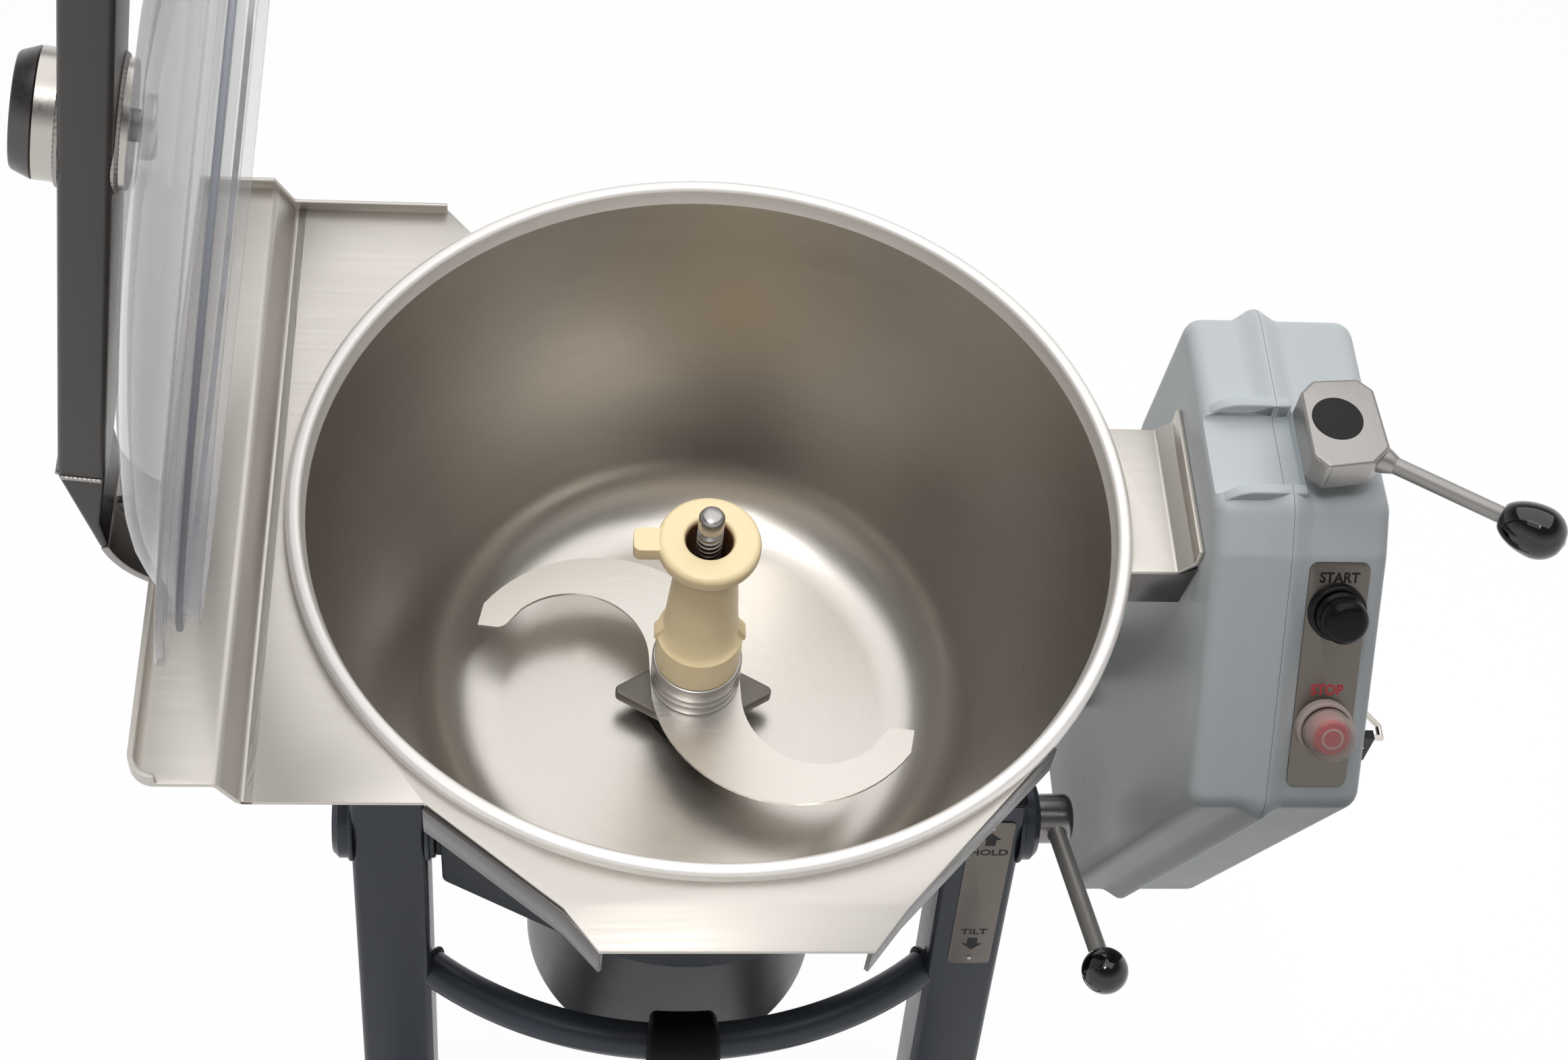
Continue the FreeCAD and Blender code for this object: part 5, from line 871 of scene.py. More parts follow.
class MIXER_OT_lid(bpy.types.Operator):
    """Makes the clear lid, its seal, the tube arm with its welds, the boss and the hinge strap."""
    bl_idname = "mixer.lid"
    bl_label = "Lid"

    def execute(self, context):
        place = on_lid_hinge()
        outer = [(8.0, 44.0), (40.0, 43.6), (80.0, 42.2), (115.0, 39.8), (150.0, 35.8), (176.0, 31.6), (192.0, 27.4)]
        outer += [(204.0, 22.2), (213.0, 16.0), (219.0, 10.8)] + arc(225.0, 11.0, 3.0, 200, 270, 4)
        for groove in (230.0, 236.5, 243.0, 249.0):
            outer += [(groove, 8.0), (groove + 0.8, 7.1), (groove + 2.2, 7.1), (groove + 3.0, 8.0)]
        outer += arc(254.4, 6.4, 1.6, 90, 0, 4) + arc(254.6, 4.4, 1.4, 0, -90, 4)
        outer += [(246.0, 3.0), (236.0, 3.0)] + arc(235.0, -10.0, 1.0, 0, -90, 3) + arc(232.2, -10.0, 1.0, -90, -180, 3)
        outer += [(231.2, 1.5), (226.0, 3.0)] + [(214.0, 9.2), (208.0, 13.8), (200.0, 18.6), (190.0, 22.6)]
        outer += [(176.0, 26.4), (150.0, 30.8), (115.0, 34.8), (80.0, 37.2), (40.0, 38.6), (8.0, 39.0)]
        dome = lathe(outer, 160, ring=True)
        set_in_place(dome, "clear_dome", place, "clear lid", "lid_unit", "clear_lid", "lid")
        seal = lathe([(236.0, -3.0)] + arc(237.6, -1.4, 1.6, -90, 90, 8) + [(236.0, 0.4)], 160, ring=True)
        set_in_place(seal, "lid_seal_ring", place, "pale seal", "lid_unit", "seal_rubber", "lid_seal")
        half = mm(sizes().arm_width) / 2
        arm_section = rounded([(-half, 50.5), (half, 50.5), (half, 75.9), (-half, 75.9)], 3.5)
        arm = bar_across(arm_section, -248.0, 280.0)
        tongue = rounded([(270.0, -24.0), (331.0, -24.0), (331.0, 24.0), (270.0, 24.0)], [1.0, 12.0, 12.0, 1.0])
        tongue = soften(plate(tongue, 50.5, 63.0), 1.2, 3)
        neck = [(-248.0, 75.9), (-315.5, 52.1), (-313.8, 47.4), (-291.0, 52.4), (-248.0, 50.5)]
        neck = soften(bar_through(neck, -half, half), 2.6, 4, 25.0)
        # The arm takes the arm steel, its colour darkened as painted shade.
        set_in_place(joined(arm, tongue, neck), "tube_arm", place, "arm steel painted shade", "lid_unit", "arm_steel", "lid_arm", smooth=25.0)
        boss = lathe([(8.0, 44.0), (30.8, 44.0), (31.75, 45.0), (31.75, 88.0), (26.75, 88.0), (26.75, 49.0), (8.0, 49.0)],
                     80, ring=True)
        set_in_place(boss, "boss_tube", place, "boss steel", "lid_unit", "polished_steel", "lid_boss")
        cap = lathe([(0.0, 79.0), (26.7, 79.0), (26.7, 88.2), (31.0, 88.2), (31.75, 89.0), (28.4, 97.6),
                     (27.3, 98.8), (0.0, 99.0)], 80)
        # The cap takes the cap steel, its colour darkened as painted shade.
        set_in_place(cap, "bevelled_cap", place, "cap steel painted shade", "lid_unit", "arm_steel", "boss_cap")
        bolt = lathe([(0.0, 32.0), (12.0, 32.0)] + arc(12.5, 35.5, 3.5, -80, 0, 5) + [(16.0, 39.0), (8.0, 39.0),
                     (8.0, 49.0), (16.0, 49.0), (16.0, 56.0), (0.0, 56.0)], 48)
        set_in_place(bolt, "lid_clamp_bolt", place, "fastener steel", "lid_unit", "fastener", "lid_bolt")
        beads = [
            weld_bead(circle_points((0, 0, 76.2), (0, 0, 1), 32.2), 2.1, 3.0, loop=True),
            weld_bead(circle_points((0, 0, 50.2), (0, 0, 1), 32.2), 2.1, 3.0, loop=True),
            weld_bead([(-248.2, -half + 2, 76.0), (-248.2, half - 2, 76.0)], 1.3, 2.4),
            weld_bead([(-248.2, -half - 0.2, 74.0), (-248.2, -half - 0.2, 52.0)], 1.3, 2.4),
            weld_bead([(-248.2, half + 0.2, 74.0), (-248.2, half + 0.2, 52.0)], 1.3, 2.4),
        ]
        set_in_place(joined(*beads), "arm_weld_beads", place, "cast steel", "lid_unit", "arm_steel")
        hx, hz = HINGE.x, HINGE.z
        band = arc(hx, hz, 57.0, 110.0, 238.0, 32) + arc(hx, hz, 52.0, 238.0, 110.0, 32)
        band = soften(bar_through(band, -half, half), 1.2, 3, 50.0)
        rib = arc(hx, hz, 52.5, 112.0, 236.0, 28) + arc(hx, hz, 43.0, 236.0, 112.0, 28)
        rib = soften(bar_through(rib, -3.0, 3.0), 0.8, 2, 50.0)
        web_angle = math.radians(236.0)
        out = Vector((math.cos(web_angle), math.sin(web_angle)))
        side = Vector((-out.y, out.x)) * 2.5
        foot, tip = Vector((hx, hz)) + out * 6.0, Vector((hx, hz)) + out * 54.5
        web = [tuple(foot + side), tuple(tip + side), tuple(tip - side), tuple(foot - side)]
        web = soften(bar_through(web, -half, half), 0.8, 2)
        barrel = lathe([(7.05, -half), (10.2, -half), (11.0, -half + 0.8), (11.0, half - 0.8), (10.2, half), (7.05, half)],
                       48, ring=True)
        barrel = standing(barrel, (hx, 0.0, hz), (0, 1, 0))
        # The strap takes the strap steel, its colour lightened as painted light.
        set_in_place(joined(band, rib, web, barrel), "curved_strap", place, "strap steel painted light", "lid_unit", "arm_steel",
                     "hinge_strap", smooth=25.0)
        return {"FINISHED"}


# Control housing

SIDE = [(-38.0, 54.0), (-60.0, 34.0), (-156.0, -90.0), (-33.0, -452.0), (120.0, -452.0), (120.0, -70.0), (105.0, 54.0)]
SEAM = 328.0


def side_ring(x, growth):
    corner = mm(sizes().housing_corner)
    return upright_at(rounded(SIDE, corner, growth, 7), x)


def shell_rings(outer, seam_side):
    """Rings from the outer wall over its rounded edge to the flared seam."""
    sign = 1.0 if outer < SEAM else -1.0
    edge = 11.0
    rings = []
    for step in range(8):
        angle = math.radians(90.0 * step / 7)
        rings.append(side_ring(outer + sign * edge * (1 - math.cos(angle)), -edge * (1 - math.sin(angle))))
    for back, growth in ((15.0, 0.0), (12.5, 0.5), (9.0, 2.4), (5.0, 5.0), (2.6, 6.5), (1.2, 7.0), (0.15, 7.0)):
        rings.append(side_ring(SEAM - sign * back, growth))
    return rings


def saddle(x0, x1, half, floor):
    """Tool that sinks the saddle between the ribs, its floor corners rounded."""
    section = rounded([(-half, floor), (half, floor), (half, 120.0), (-half, 120.0)], 3.0)
    return bar_across(section, x0, x1)


def saddle_rib(side, x0, x1, curved=True):
    """Raised rib beside the saddle, its left end falling away in a curve."""
    near, far = sorted((side * 28.0, side * 35.0))
    crest = 61.0
    end = arc(x0 + 18.0, crest - 21.0, 21.0, 90.0, 178.0, 10) if curved else [(x0, crest)]
    points = [(x0 - 3.0 if curved else x0, 38.0), (x1, 38.0), (x1, crest)] + end
    return soften(bar_through(points, near, far), 1.2, 3, 50.0)


def crown():
    """Cap over the right shell's top that stands out past its wall, its lower edge drawn in."""
    corners = [(-38.0, 54.0), (-61.0, 33.0), (-69.0, 20.0), (110.0, 20.0), (105.0, 54.0)]
    rings = [upright_at(rounded(corners, 10.0, -1.0), 342.0)]
    for step in range(9):
        angle = math.radians(90.0 * step / 8)
        rings.append(upright_at(rounded(corners, 10.0, -9.0 * (1 - math.cos(angle))), 389.8 + 9.0 * math.sin(angle)))
    wedge = bar_through([(386.0, 15.3), (386.0, 10.0), (410.0, 10.0), (410.0, 44.9)], -90.0, 130.0)
    return combine(skin(rings), wedge, "DIFFERENCE")


def on_panel(down, height, aside=0.0):
    """Place on the sloping panel: so far down it, above it and to the right of its middle."""
    slope = Vector((0.0, SIDE[2][0] - SIDE[1][0], SIDE[2][1] - SIDE[1][1])).normalized()
    out = Vector((1.0, 0.0, 0.0)).cross(slope)
    out = out if out.z > 0 else -out
    spot = Vector((359.0 + aside, SIDE[1][0], SIDE[1][1])) + slope * down + out * height
    axes = Matrix((Vector((1, 0, 0)), -slope, out)).transposed().to_4x4()
    return Matrix.Translation(spot) @ axes


class MIXER_OT_housing(bpy.types.Operator):
    """Makes the two housing shells, the switch plate with its words, and the seam screws."""
    bl_idname = "mixer.housing"
    bl_label = "Housing"

    def execute(self, context):
        place = on_trunnions()
        left = skin(shell_rings(285.0, SEAM))
        combine(left, saddle(200.0, 345.0, 28.0, 48.0), "DIFFERENCE")
        ribs = [saddle_rib(side, 289.0, SEAM - 0.15) for side in (-1, 1)]
        set_in_place(joined(left, *ribs), "left_shell", place, "housing enamel", "tilting_unit", "housing_metal", "left_housing_shell",
                     smooth=32.0)
        right = skin(shell_rings(389.0, SEAM))
        combine(right, saddle(300.0, 338.0, 28.0, 48.0), "DIFFERENCE")
        ribs = [saddle_rib(side, SEAM + 0.15, 337.0, False) for side in (-1, 1)]
        set_in_place(joined(right, crown(), *ribs), "right_shell", place, "housing enamel", "tilting_unit", "housing_metal", "right_housing_shell",
                     smooth=32.0)
        half_long, half_wide = 70.0, 18.0
        corners = [(-half_wide, -half_long), (half_wide, -half_long), (half_wide, half_long), (-half_wide, half_long)]
        panel = soften(plate(rounded(corners, 5.0), 0.0, 1.5), 0.4, 2)
        moved(panel, on_panel(73.0, 0.0))
        set_in_place(panel, "switch_panel", place, "plate steel", "tilting_unit", "panel_plate", "switch_plate")
        for text, down, finish, slot in (("START", 12.5, "black plastic", "black_plastic"),
                                         ("STOP", 82.0, "red plastic", "red_plastic")):
            words = moved(lettering(text, 8.8, 0.08, 0.27, 0.92), on_panel(down, 1.5))
            set_in_place(words, text.lower() + "_words", place, finish, "tilting_unit", slot)
        heads = []
        for y, z in ((87.5, 12.0), (102.5, -434.5), (-15.5, -434.5)):
            head = lathe([(0.0, 0.0), (5.5, 0.0)] + arc(4.3, 1.8, 1.2, 0, 90, 4) + [(2.4, 3.0), (2.4, 1.6), (0.0, 1.6)], 24)
            heads.append(standing(head, (389.0, y, z), (1, 0, 0)))
            heads.append(rod(3.0, (308.0, y, z), (389.5, y, z), steps=16))
        set_in_place(joined(*heads), "shell_screws", place, "fastener steel", "tilting_unit", "fastener", "seam_screws")
        return {"FINISHED"}


class MIXER_OT_buttons(bpy.types.Operator):
    """Makes the START button under its black boot and the STOP button under its clear boot."""
    bl_idname = "mixer.buttons"
    bl_label = "Buttons"

    def execute(self, context):
        place = on_trunnions()
        bodies = []
        for down, skirt in ((32.5, False), (104.5, True)):
            ring = [(6.1, -24.0), (11.0, -24.0), (11.0, 1.5), (17.0, 1.5)] + arc(15.6, 6.6, 1.4, 0, 90, 4)
            ring += [(14.8, 8.0), (14.8, 2.5), (6.1, 2.5)]
            body = lathe(ring, 64, ring=True)
            block = soften(plate(rounded([(-13, -13), (13, -13), (13, 13), (-13, 13)], 1.5), -54.0, -24.0), 0.6, 2)
            if skirt:
                set_in_place(moved(body, on_panel(down, 0.0)), "stop_skirt", place, "milky plastic", "tilting_unit",
                             "black_plastic")
                bodies.append(moved(block, on_panel(down, 0.0)))
            else:
                bodies.append(moved(joined(body, block), on_panel(down, 0.0)))
        set_in_place(joined(*bodies), "switch_bases", place, "black plastic", "tilting_unit", "black_plastic",
                     "switch_bodies")
        profile = [(0.0, -9.0), (6.0, -9.0), (6.0, 9.0), (13.6, 9.0)] + arc(13.4, 10.2, 1.1, -80, 60, 5)
        profile += [(12.6, 12.6), (13.4, 14.2), (13.6, 18.0)] + arc(7.2, 20.4, 6.4, 0, 80, 8) + [(0.0, 27.0)]
        boot = moved(lathe(profile, 64), on_panel(32.5, 0.0))
        set_in_place(boot, "start_boot", place, "boot rubber", "start", "black_rubber", "start_button")
        cap = lathe([(0.0, -9.0), (6.0, -9.0), (6.0, 9.0), (12.5, 9.0), (12.5, 11.0), (10.5, 11.0)]
                    + arc(9.3, 20.6, 1.2, 0, 90, 4) + [(0.0, 21.8)], 56)
        set_in_place(moved(cap, on_panel(104.5, 0.0)), "stop_cap", place, "red plastic", "stop", "red_plastic", "stop_button")
        mark = lathe([(5.2, 21.7), (6.5, 21.7), (6.5, 22.05), (5.2, 22.05)], 48, ring=True)
        set_in_place(moved(mark, on_panel(104.5, 0.0)), "stop_ring_mark", place, "pale mark", "stop", "red_plastic")
        shell = [(12.7, 9.0)] + arc(13.3, 10.0, 1.0, -70, 60, 4) + [(13.9, 12.0), (14.3, 13.4), (14.3, 21.0)]
        shell += arc(8.8, 21.5, 5.4, 0, 78, 8) + [(0.0, 27.0), (0.0, 25.4)] + arc(8.8, 21.5, 3.8, 78, 0, 8)
        shell += [(12.6, 13.0)]
        clear = moved(lathe(shell, 64, ring=True), on_panel(104.5, 0.0))
        set_in_place(clear, "stop_clear_boot", place, "clear boot", "stop", "clear_boot", "stop_boot")
        return {"FINISHED"}


class MIXER_OT_latch(bpy.types.Operator):
    """Makes the cast latch with its disc, lever and knob."""
    bl_idname = "mixer.latch"
    bl_label = "Latch"

    def execute(self, context):
        place = on_trunnions()
        outline = [(333.5, 18.0), (342.0, 27.0), (369.0, 29.0), (377.5, 21.0),
                   (380.0, -21.0), (369.0, -32.0), (342.0, -36.0), (333.5, -27.0)]
        block = plate(rounded(outline, 4.0), 66.0, 88.0)
        soften(block, 2.4, 4, 50.0)
        root = lathe([(0.0, 0.0), (8.6, 0.0), (8.6, 4.0), (7.2, 9.0), (5.2, 14.0), (0.0, 14.0)], 32)
        start, knob = Vector((372.0, -18.0, 77.0)), Vector((437.0, -64.0, 84.0))
        ahead = (knob - start).normalized()
        root = standing(root, start + ahead * 1.0, ahead)
        set_in_place(joined(block, root), "cast_latch", place, "cast steel", "latch", "latch_steel", "latch_block")
        disc = rod(15.0, (352.0, -1.0, 87.0), (352.0, -1.0, 88.5), 0.4, 64)
        set_in_place(disc, "latch_cap_disc", place, "black plastic", "latch", "black_plastic", "latch_disc")
        lever = rod(5.0, start, knob + ahead * 12.0, 0.6, 32)
        set_in_place(lever, "latch_rod", place, "rod steel", "latch", "polished_steel", "latch_lever_rod")
        egg = [(0.0, 0.0), (6.4, 0.0)]
        for index in range(24):
            part = index / 24.0 - 0.58
            reach = part / 0.42 if part > 0.0 else part / 0.655
            egg.append((15.5 * math.sqrt(1.0 - reach * reach), 38.0 * (part + 0.58)))
        egg.append((0.0, 38.0))
        set_in_place(standing(lathe(egg, 56), knob, ahead), "egg_knob", place, "glossy black", "latch", "knob_plastic",
                     "latch_knob", smooth=60.0)
        return {"FINISHED"}


# Stand and trunnions

def tube_outline(x, y):
    half = mm(sizes().tube) / 2
    corners = [(x - half, y - half), (x + half, y - half), (x + half, y + half), (x - half, y + half)]
    return rounded(corners, mm(sizes().tube_corner))


def brace_points(reach, count=48):
    """Centre line of the bowed bar between x = -reach and +reach."""
    span, middle, end = 174.4, 3.0, 68.5
    bow = end - middle
    radius = (span ** 2 + bow ** 2) / (2 * bow)
    points = []
    for index in range(count + 1):
        x = -reach + 2 * reach * index / count
        points.append((x, middle + radius - math.sqrt(radius ** 2 - x ** 2), 435.0))
    return points


class MIXER_OT_stand(bpy.types.Operator):
    """Makes the stand: uprights, rails, feet, the bowed brace with its bumper, and the welds."""
    bl_idname = "mixer.stand"
    bl_label = "Stand"

    def execute(self, context):
        place = on_floor()
        beads = []
        for side, name in ((-1, "left"), (1, "right")):
            x = side * 199.4
            post = plate(tube_outline(x, 80.0), 60.0, 617.9)
            set_in_place(post, name + "_post", place, "stand paint", "stand", "stand_paint", name + "_upright")
            rail = bar_through(tube_outline(x, 35.0), -254.9, 254.9)
            set_in_place(rail, name + "_rail", place, "stand paint", "stand", "stand_paint", name + "_base_rail")
            foot = [(x - 26, 55.0), (x + 26, 55.0), (x + 26, 105.0), (x - 26, 105.0)]
            beads.append(weld_bead([(px, py, 61.0) for px, py in foot], 2.4, 3.4, loop=True))
            beads.append(weld_bead(circle_points((side * 174.2, 69.0, 435.0), (1, 0.5 * side, 0), 13.2), 2.0, 3.0, loop=True))
            for inner in (224.6, 174.2):
                beads.append(weld_bead(circle_points((side * inner, 80.0, 580.0), (1, 0, 0), 28.4), 1.9, 3.0, loop=True))
            seam = [(side * 174.2, 170.0, 12.0), (side * 174.2, 170.0, 60.0), (side * 174.2, 220.0, 60.0),
                    (side * 174.2, 220.0, 12.0)]
            beads.append(weld_bead(seam, 2.2, 3.4))
        set_in_place(joined(*beads), "stand_weld_beads", place, "stand paint", "stand", "stand_paint")
        cross = bar_across(rounded([(170, 10), (220, 10), (220, 60), (170, 60)], mm(sizes().tube_corner)), -174.4, 174.4)
        set_in_place(cross, "rear_tube", place, "stand paint", "stand", "stand_paint", "rear_cross_tube")
        brace = along(brace_points(174.4), mm(sizes().brace_radius), 32)
        set_in_place(brace, "bowed_brace", place, "stand paint", "stand", "stand_paint", "brace_bar")
        motor_front = 80.0 + 54.0 - mm(sizes().motor_radius)
        full = motor_front - 0.4 - 3.0
        line = brace_points(24.0, 24)
        radii = []
        for index in range(25):
            near_end = min(index, 24 - index) * 2.0
            radii.append(full - max(0.0, 4.0 - near_end) ** 2 / 5.0)
        bumper = along(line, radii, 40)
        set_in_place(bumper, "motor_bumper", place, "black rubber", "stand", "black_rubber", "bumper_sleeve")
        plugs = []
        section = [(-25, -25), (25, -25), (25, 25), (-25, 25)]
        for side in (-1, 1):
            for spot, axis in (((side * 199.4, 80.0, 618.0), (0, 0, 1)), ((side * 199.4, 255.0, 35.0), (0, 1, 0)),
                               ((side * 199.4, -255.0, 35.0), (0, -1, 0))):
                plug = plate(rounded(section, mm(sizes().tube_corner)), -0.2, 3.0)
                plugs.append(standing(soften(plug, 1.4, 3), spot, axis))
        set_in_place(joined(*plugs), "end_plugs", place, "black plastic", "stand", "black_plastic", "tube_plugs")
        feet = []
        for side in (-1, 1):
            for end in (-1, 1):
                x, near, far = side * 199.4, *sorted((end * 225.0, end * 300.0))
                pad = plate(rounded([(x - 35, near), (x + 35, near), (x + 35, far), (x - 35, far)], 6.0), 0.0, 10.0)
                soften(pad, 1.2, 3)
                combine(pad, rod(6.5, (x, end * 280.0, -5.0), (x, end * 280.0, 15.0), steps=48), "DIFFERENCE")
                feet.append(pad)
        set_in_place(joined(*feet), "foot_plates", place, "stand paint", "stand", "stand_paint", "foot_pads")
        return {"FINISHED"}


class MIXER_OT_trunnions(bpy.types.Operator):
    """Makes the trunnion bosses and pins, the tilt clamp lever and its HOLD/TILT plate."""
    bl_idname = "mixer.trunnions"
    bl_label = "Trunnions"

    def execute(self, context):
        place = on_floor()
        centre = Vector((0.0, 80.0, 580.0))

        def out(profile, side, steps=72, ring=True):
            return standing(lathe(profile, steps, ring), centre, (side, 0, 0))

        bosses, pins, washers = [], [], []
        for side in (-1, 1):
            bosses.append(out([(16.0, 168.9), (27.0, 168.9), (28.0, 169.9), (28.0, 174.4), (20.0, 174.4), (20.0, 224.4),
                               (28.0, 224.4), (28.0, 232.4), (24.0, 236.4), (16.0, 236.4)], side))
            end = 256.0 if side > 0 else 233.0
            pins.append(out([(0.0, 112.0), (12.5, 112.0), (12.5, end - 1.5), (11.0, end), (0.0, end)], side, 48, False))
            washers.append(out([(12.5, 165.0), (25.4, 165.0), (26.0, 165.6), (26.0, 168.0), (25.4, 168.6), (12.5, 168.6)], side))
        set_in_place(joined(*bosses), "trunnion_bosses", place, "stand paint", "stand", "stand_paint", "trunnion_bearings")
        set_in_place(joined(*pins), "trunnion_pin_pair", place, "bearing steel", "tilting_unit", "bearing_steel",
                     "trunnion_pins")
        set_in_place(joined(*washers), "side_washers", place, "black plastic", "tilting_unit", "black_plastic",
                     "thrust_washers")
        hub = [(12.55, 236.7), (15.6, 236.7), (17.0, 238.1), (17.0, 252.0)] + arc(11.0, 255.7, 6.0, 0, 90, 6)
        hub += [(0.0, 261.7)]
        hub = standing(lathe([(0.0, 256.3), (12.55, 256.3)] + hub, 64), centre, (1, 0, 0))
        # The clamp boss takes the dark copy of polished steel, a painted reflection.
        set_in_place(hub, "clamp_boss", place, "clamp steel painted dark reflection", "clamp_lever", "polished_steel", "clamp_hub")
        low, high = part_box("clamp_lever_ball")
        ball = (low + high) / 2 * 1000.0
        start = Vector((248.9, 80.0, 580.0))
        ahead = (ball - start).normalized()
        bar = lathe([(0.0, 14.0), (6.8, 14.0), (6.8, 17.0), (6.0, 19.0), (6.0, 128.0), (5.2, 136.0), (0.0, 136.0)], 40)
        set_in_place(standing(bar, start, ahead), "clamp_rod", place, "rod steel", "clamp_lever", "polished_steel",
                     "clamp_lever_rod")
        knob = lathe([(0.0, -15.0), (6.0, -15.0), (7.0, -13.2)] + arc(0.0, 0.0, 15.0, -62, 90, 22), 48)
        set_in_place(standing(knob, ball, ahead), "clamp_ball", place, "glossy black", "clamp_lever", "knob_plastic",
                     "clamp_lever_ball", smooth=60.0)
        corners = [(188.0, 457.0), (218.0, 457.0), (218.0, 604.0), (188.0, 604.0)]
        label = soften(bar_through(rounded(corners, 3.0), 54.0, 55.0), 0.3, 2)
        set_in_place(label, "hold_tilt_plate", place, "label steel", "stand", "label_plate", "lever_label")
        upright_words = Matrix.Rotation(math.radians(90.0), 4, "X")
        words = []
        for text, level in (("HOLD", 574.0), ("TILT", 491.0)):
            word = lettering(text, 8.0, 0.08, 0.22, 1.2)
            words.append(moved(word, Matrix.Translation((203.0, 54.0, level)) @ upright_words))
        for base, tip in ((581.0, 593.5), (484.5, 472.0)):
            sign = 1 if tip > base else -1
            shape = [(-3.6, 0.0), (3.6, 0.0), (3.6, 6.0), (7.0, 6.0), (0.0, 12.5), (-7.0, 6.0), (-3.6, 6.0)]
            points = [(203.0 + a, base + sign * b) for a, b in shape]
            words.append(bar_through(points, 53.9, 54.05))
        set_in_place(joined(*words), "hold_tilt_words", place, "black plastic", "stand", "black_plastic")
        heads = []
        for level in (463.0, 598.0):
            head = lathe([(0.0, 0.0), (1.6, 0.0)] + arc(0.8, 0.0, 0.8, 0, 90, 4) + [(0.0, 0.8)], 20)
            heads.append(standing(head, (203.0, 54.0, level), (0, -1, 0)))
        set_in_place(joined(*heads), "plate_rivets", place, "fastener steel", "stand", "fastener", "label_rivets")
        return {"FINISHED"}


# Yoke, motor and the arm to the housing

def yoke_outline():
    """Arms out to the trunnions, blended into a round body."""
    front, back, end, body = -86.0, -22.0, 165.0, 150.0
    points = []
    touches = []
    for x, y, side in ((-end, front, 1), (end, front, -1), (end, back, 1), (-end, back, -1)):
        away = math.degrees(math.atan2(y, x)) + side * math.degrees(math.acos(min(1.0, body / math.hypot(x, y))))
        touches.append(away % 360.0)
    points += [(-end, back), (-end, front)]
    points += arc(0.0, 0.0, body, touches[0], touches[1], 20)
    points += [(end, front), (end, back)]
    points += arc(0.0, 0.0, body, touches[2], touches[3], 40)
    return points


class MIXER_OT_drive(bpy.types.Operator):
    """Makes the yoke casting, the motor's shell and the arm to the housing."""
    bl_idname = "mixer.drive"
    bl_label = "Drive"

    def execute(self, context):
        place = on_trunnions()
        body = soften(plate(yoke_outline(), -332.0, -262.0), 3.0, 4, 25.0)
        seat = rod(100.0, (0, 0, -263.0), (0, 0, -248.1), 1.0, 96)
        combine(body, rod(110.7, (0, 0, -345.0), (0, 0, -284.0), steps=96), "DIFFERENCE")
        set_in_place(joined(body, seat), "yoke_casting", place, "casting paint", "tilting_unit", "dark_casting", "yoke",
                     smooth=28.0)
        radius = mm(sizes().motor_radius)
        profile = [(0.0, -577.5)] + arc(radius - 12.0, -565.5, 12.0, -90, 0, 10)
        profile += [(radius, -345.0), (radius, -284.0), (radius - 4.0, -284.0), (radius - 4.0, -560.0), (0.0, -573.0)]
        shell = lathe(profile, 128)
        set_in_place(shell, "motor_drum", place, "motor paint", "tilting_unit", "motor_paint", "motor_shell")
        section = rounded([(66.0, -316.0), (98.0, -316.0), (98.0, -284.0), (66.0, -284.0)], 5.0)
        arm = bar_across(section, 105.0, 277.0)
        flange = rounded([(51.0, -331.0), (113.0, -331.0), (113.0, -269.0), (51.0, -269.0)], 6.0)
        flange = soften(bar_across(flange, 277.0, 285.0), 1.2, 3)
        corners = [(276.8, 66, -316), (276.8, 98, -316), (276.8, 98, -284), (276.8, 66, -284)]
        bead = weld_bead(corners, 2.4, 3.2, loop=True)
        set_in_place(joined(arm, flange, bead), "housing_arm_tube", place, "stand paint", "tilting_unit", "stand_paint",
                     "housing_arm")
        return {"FINISHED"}


# Finishes of the CAD nodes that stay as they are

KEPT = {
    # The hinge knuckles take the strap steel with its painted light.
    "trunnion_bushes": "bronze", "hinge_knuckles": "strap steel painted light", "hinge_pin": "bearing steel",
    "housing_bolts": "fastener steel", "stator": "iron", "motor_bearings": "bearing steel", "rotor_core": "iron",
    "motor_fan": "black plastic", "contactor": "grey moulding", "catch_base": "black plastic",
    "wire_bail": "polished steel", "latch_post": "bearing steel",
}


class MIXER_OT_kept(bpy.types.Operator):
    """Gives the CAD nodes that stay their finishes."""
    bl_idname = "mixer.kept"
    bl_label = "Kept nodes"

    def execute(self, context):
        for name, finish in KEPT.items():
            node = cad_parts[name]
            for spot in node.material_slots:
                spot.material = finishes[finish]
        return {"FINISHED"}


# Floor, light and camera

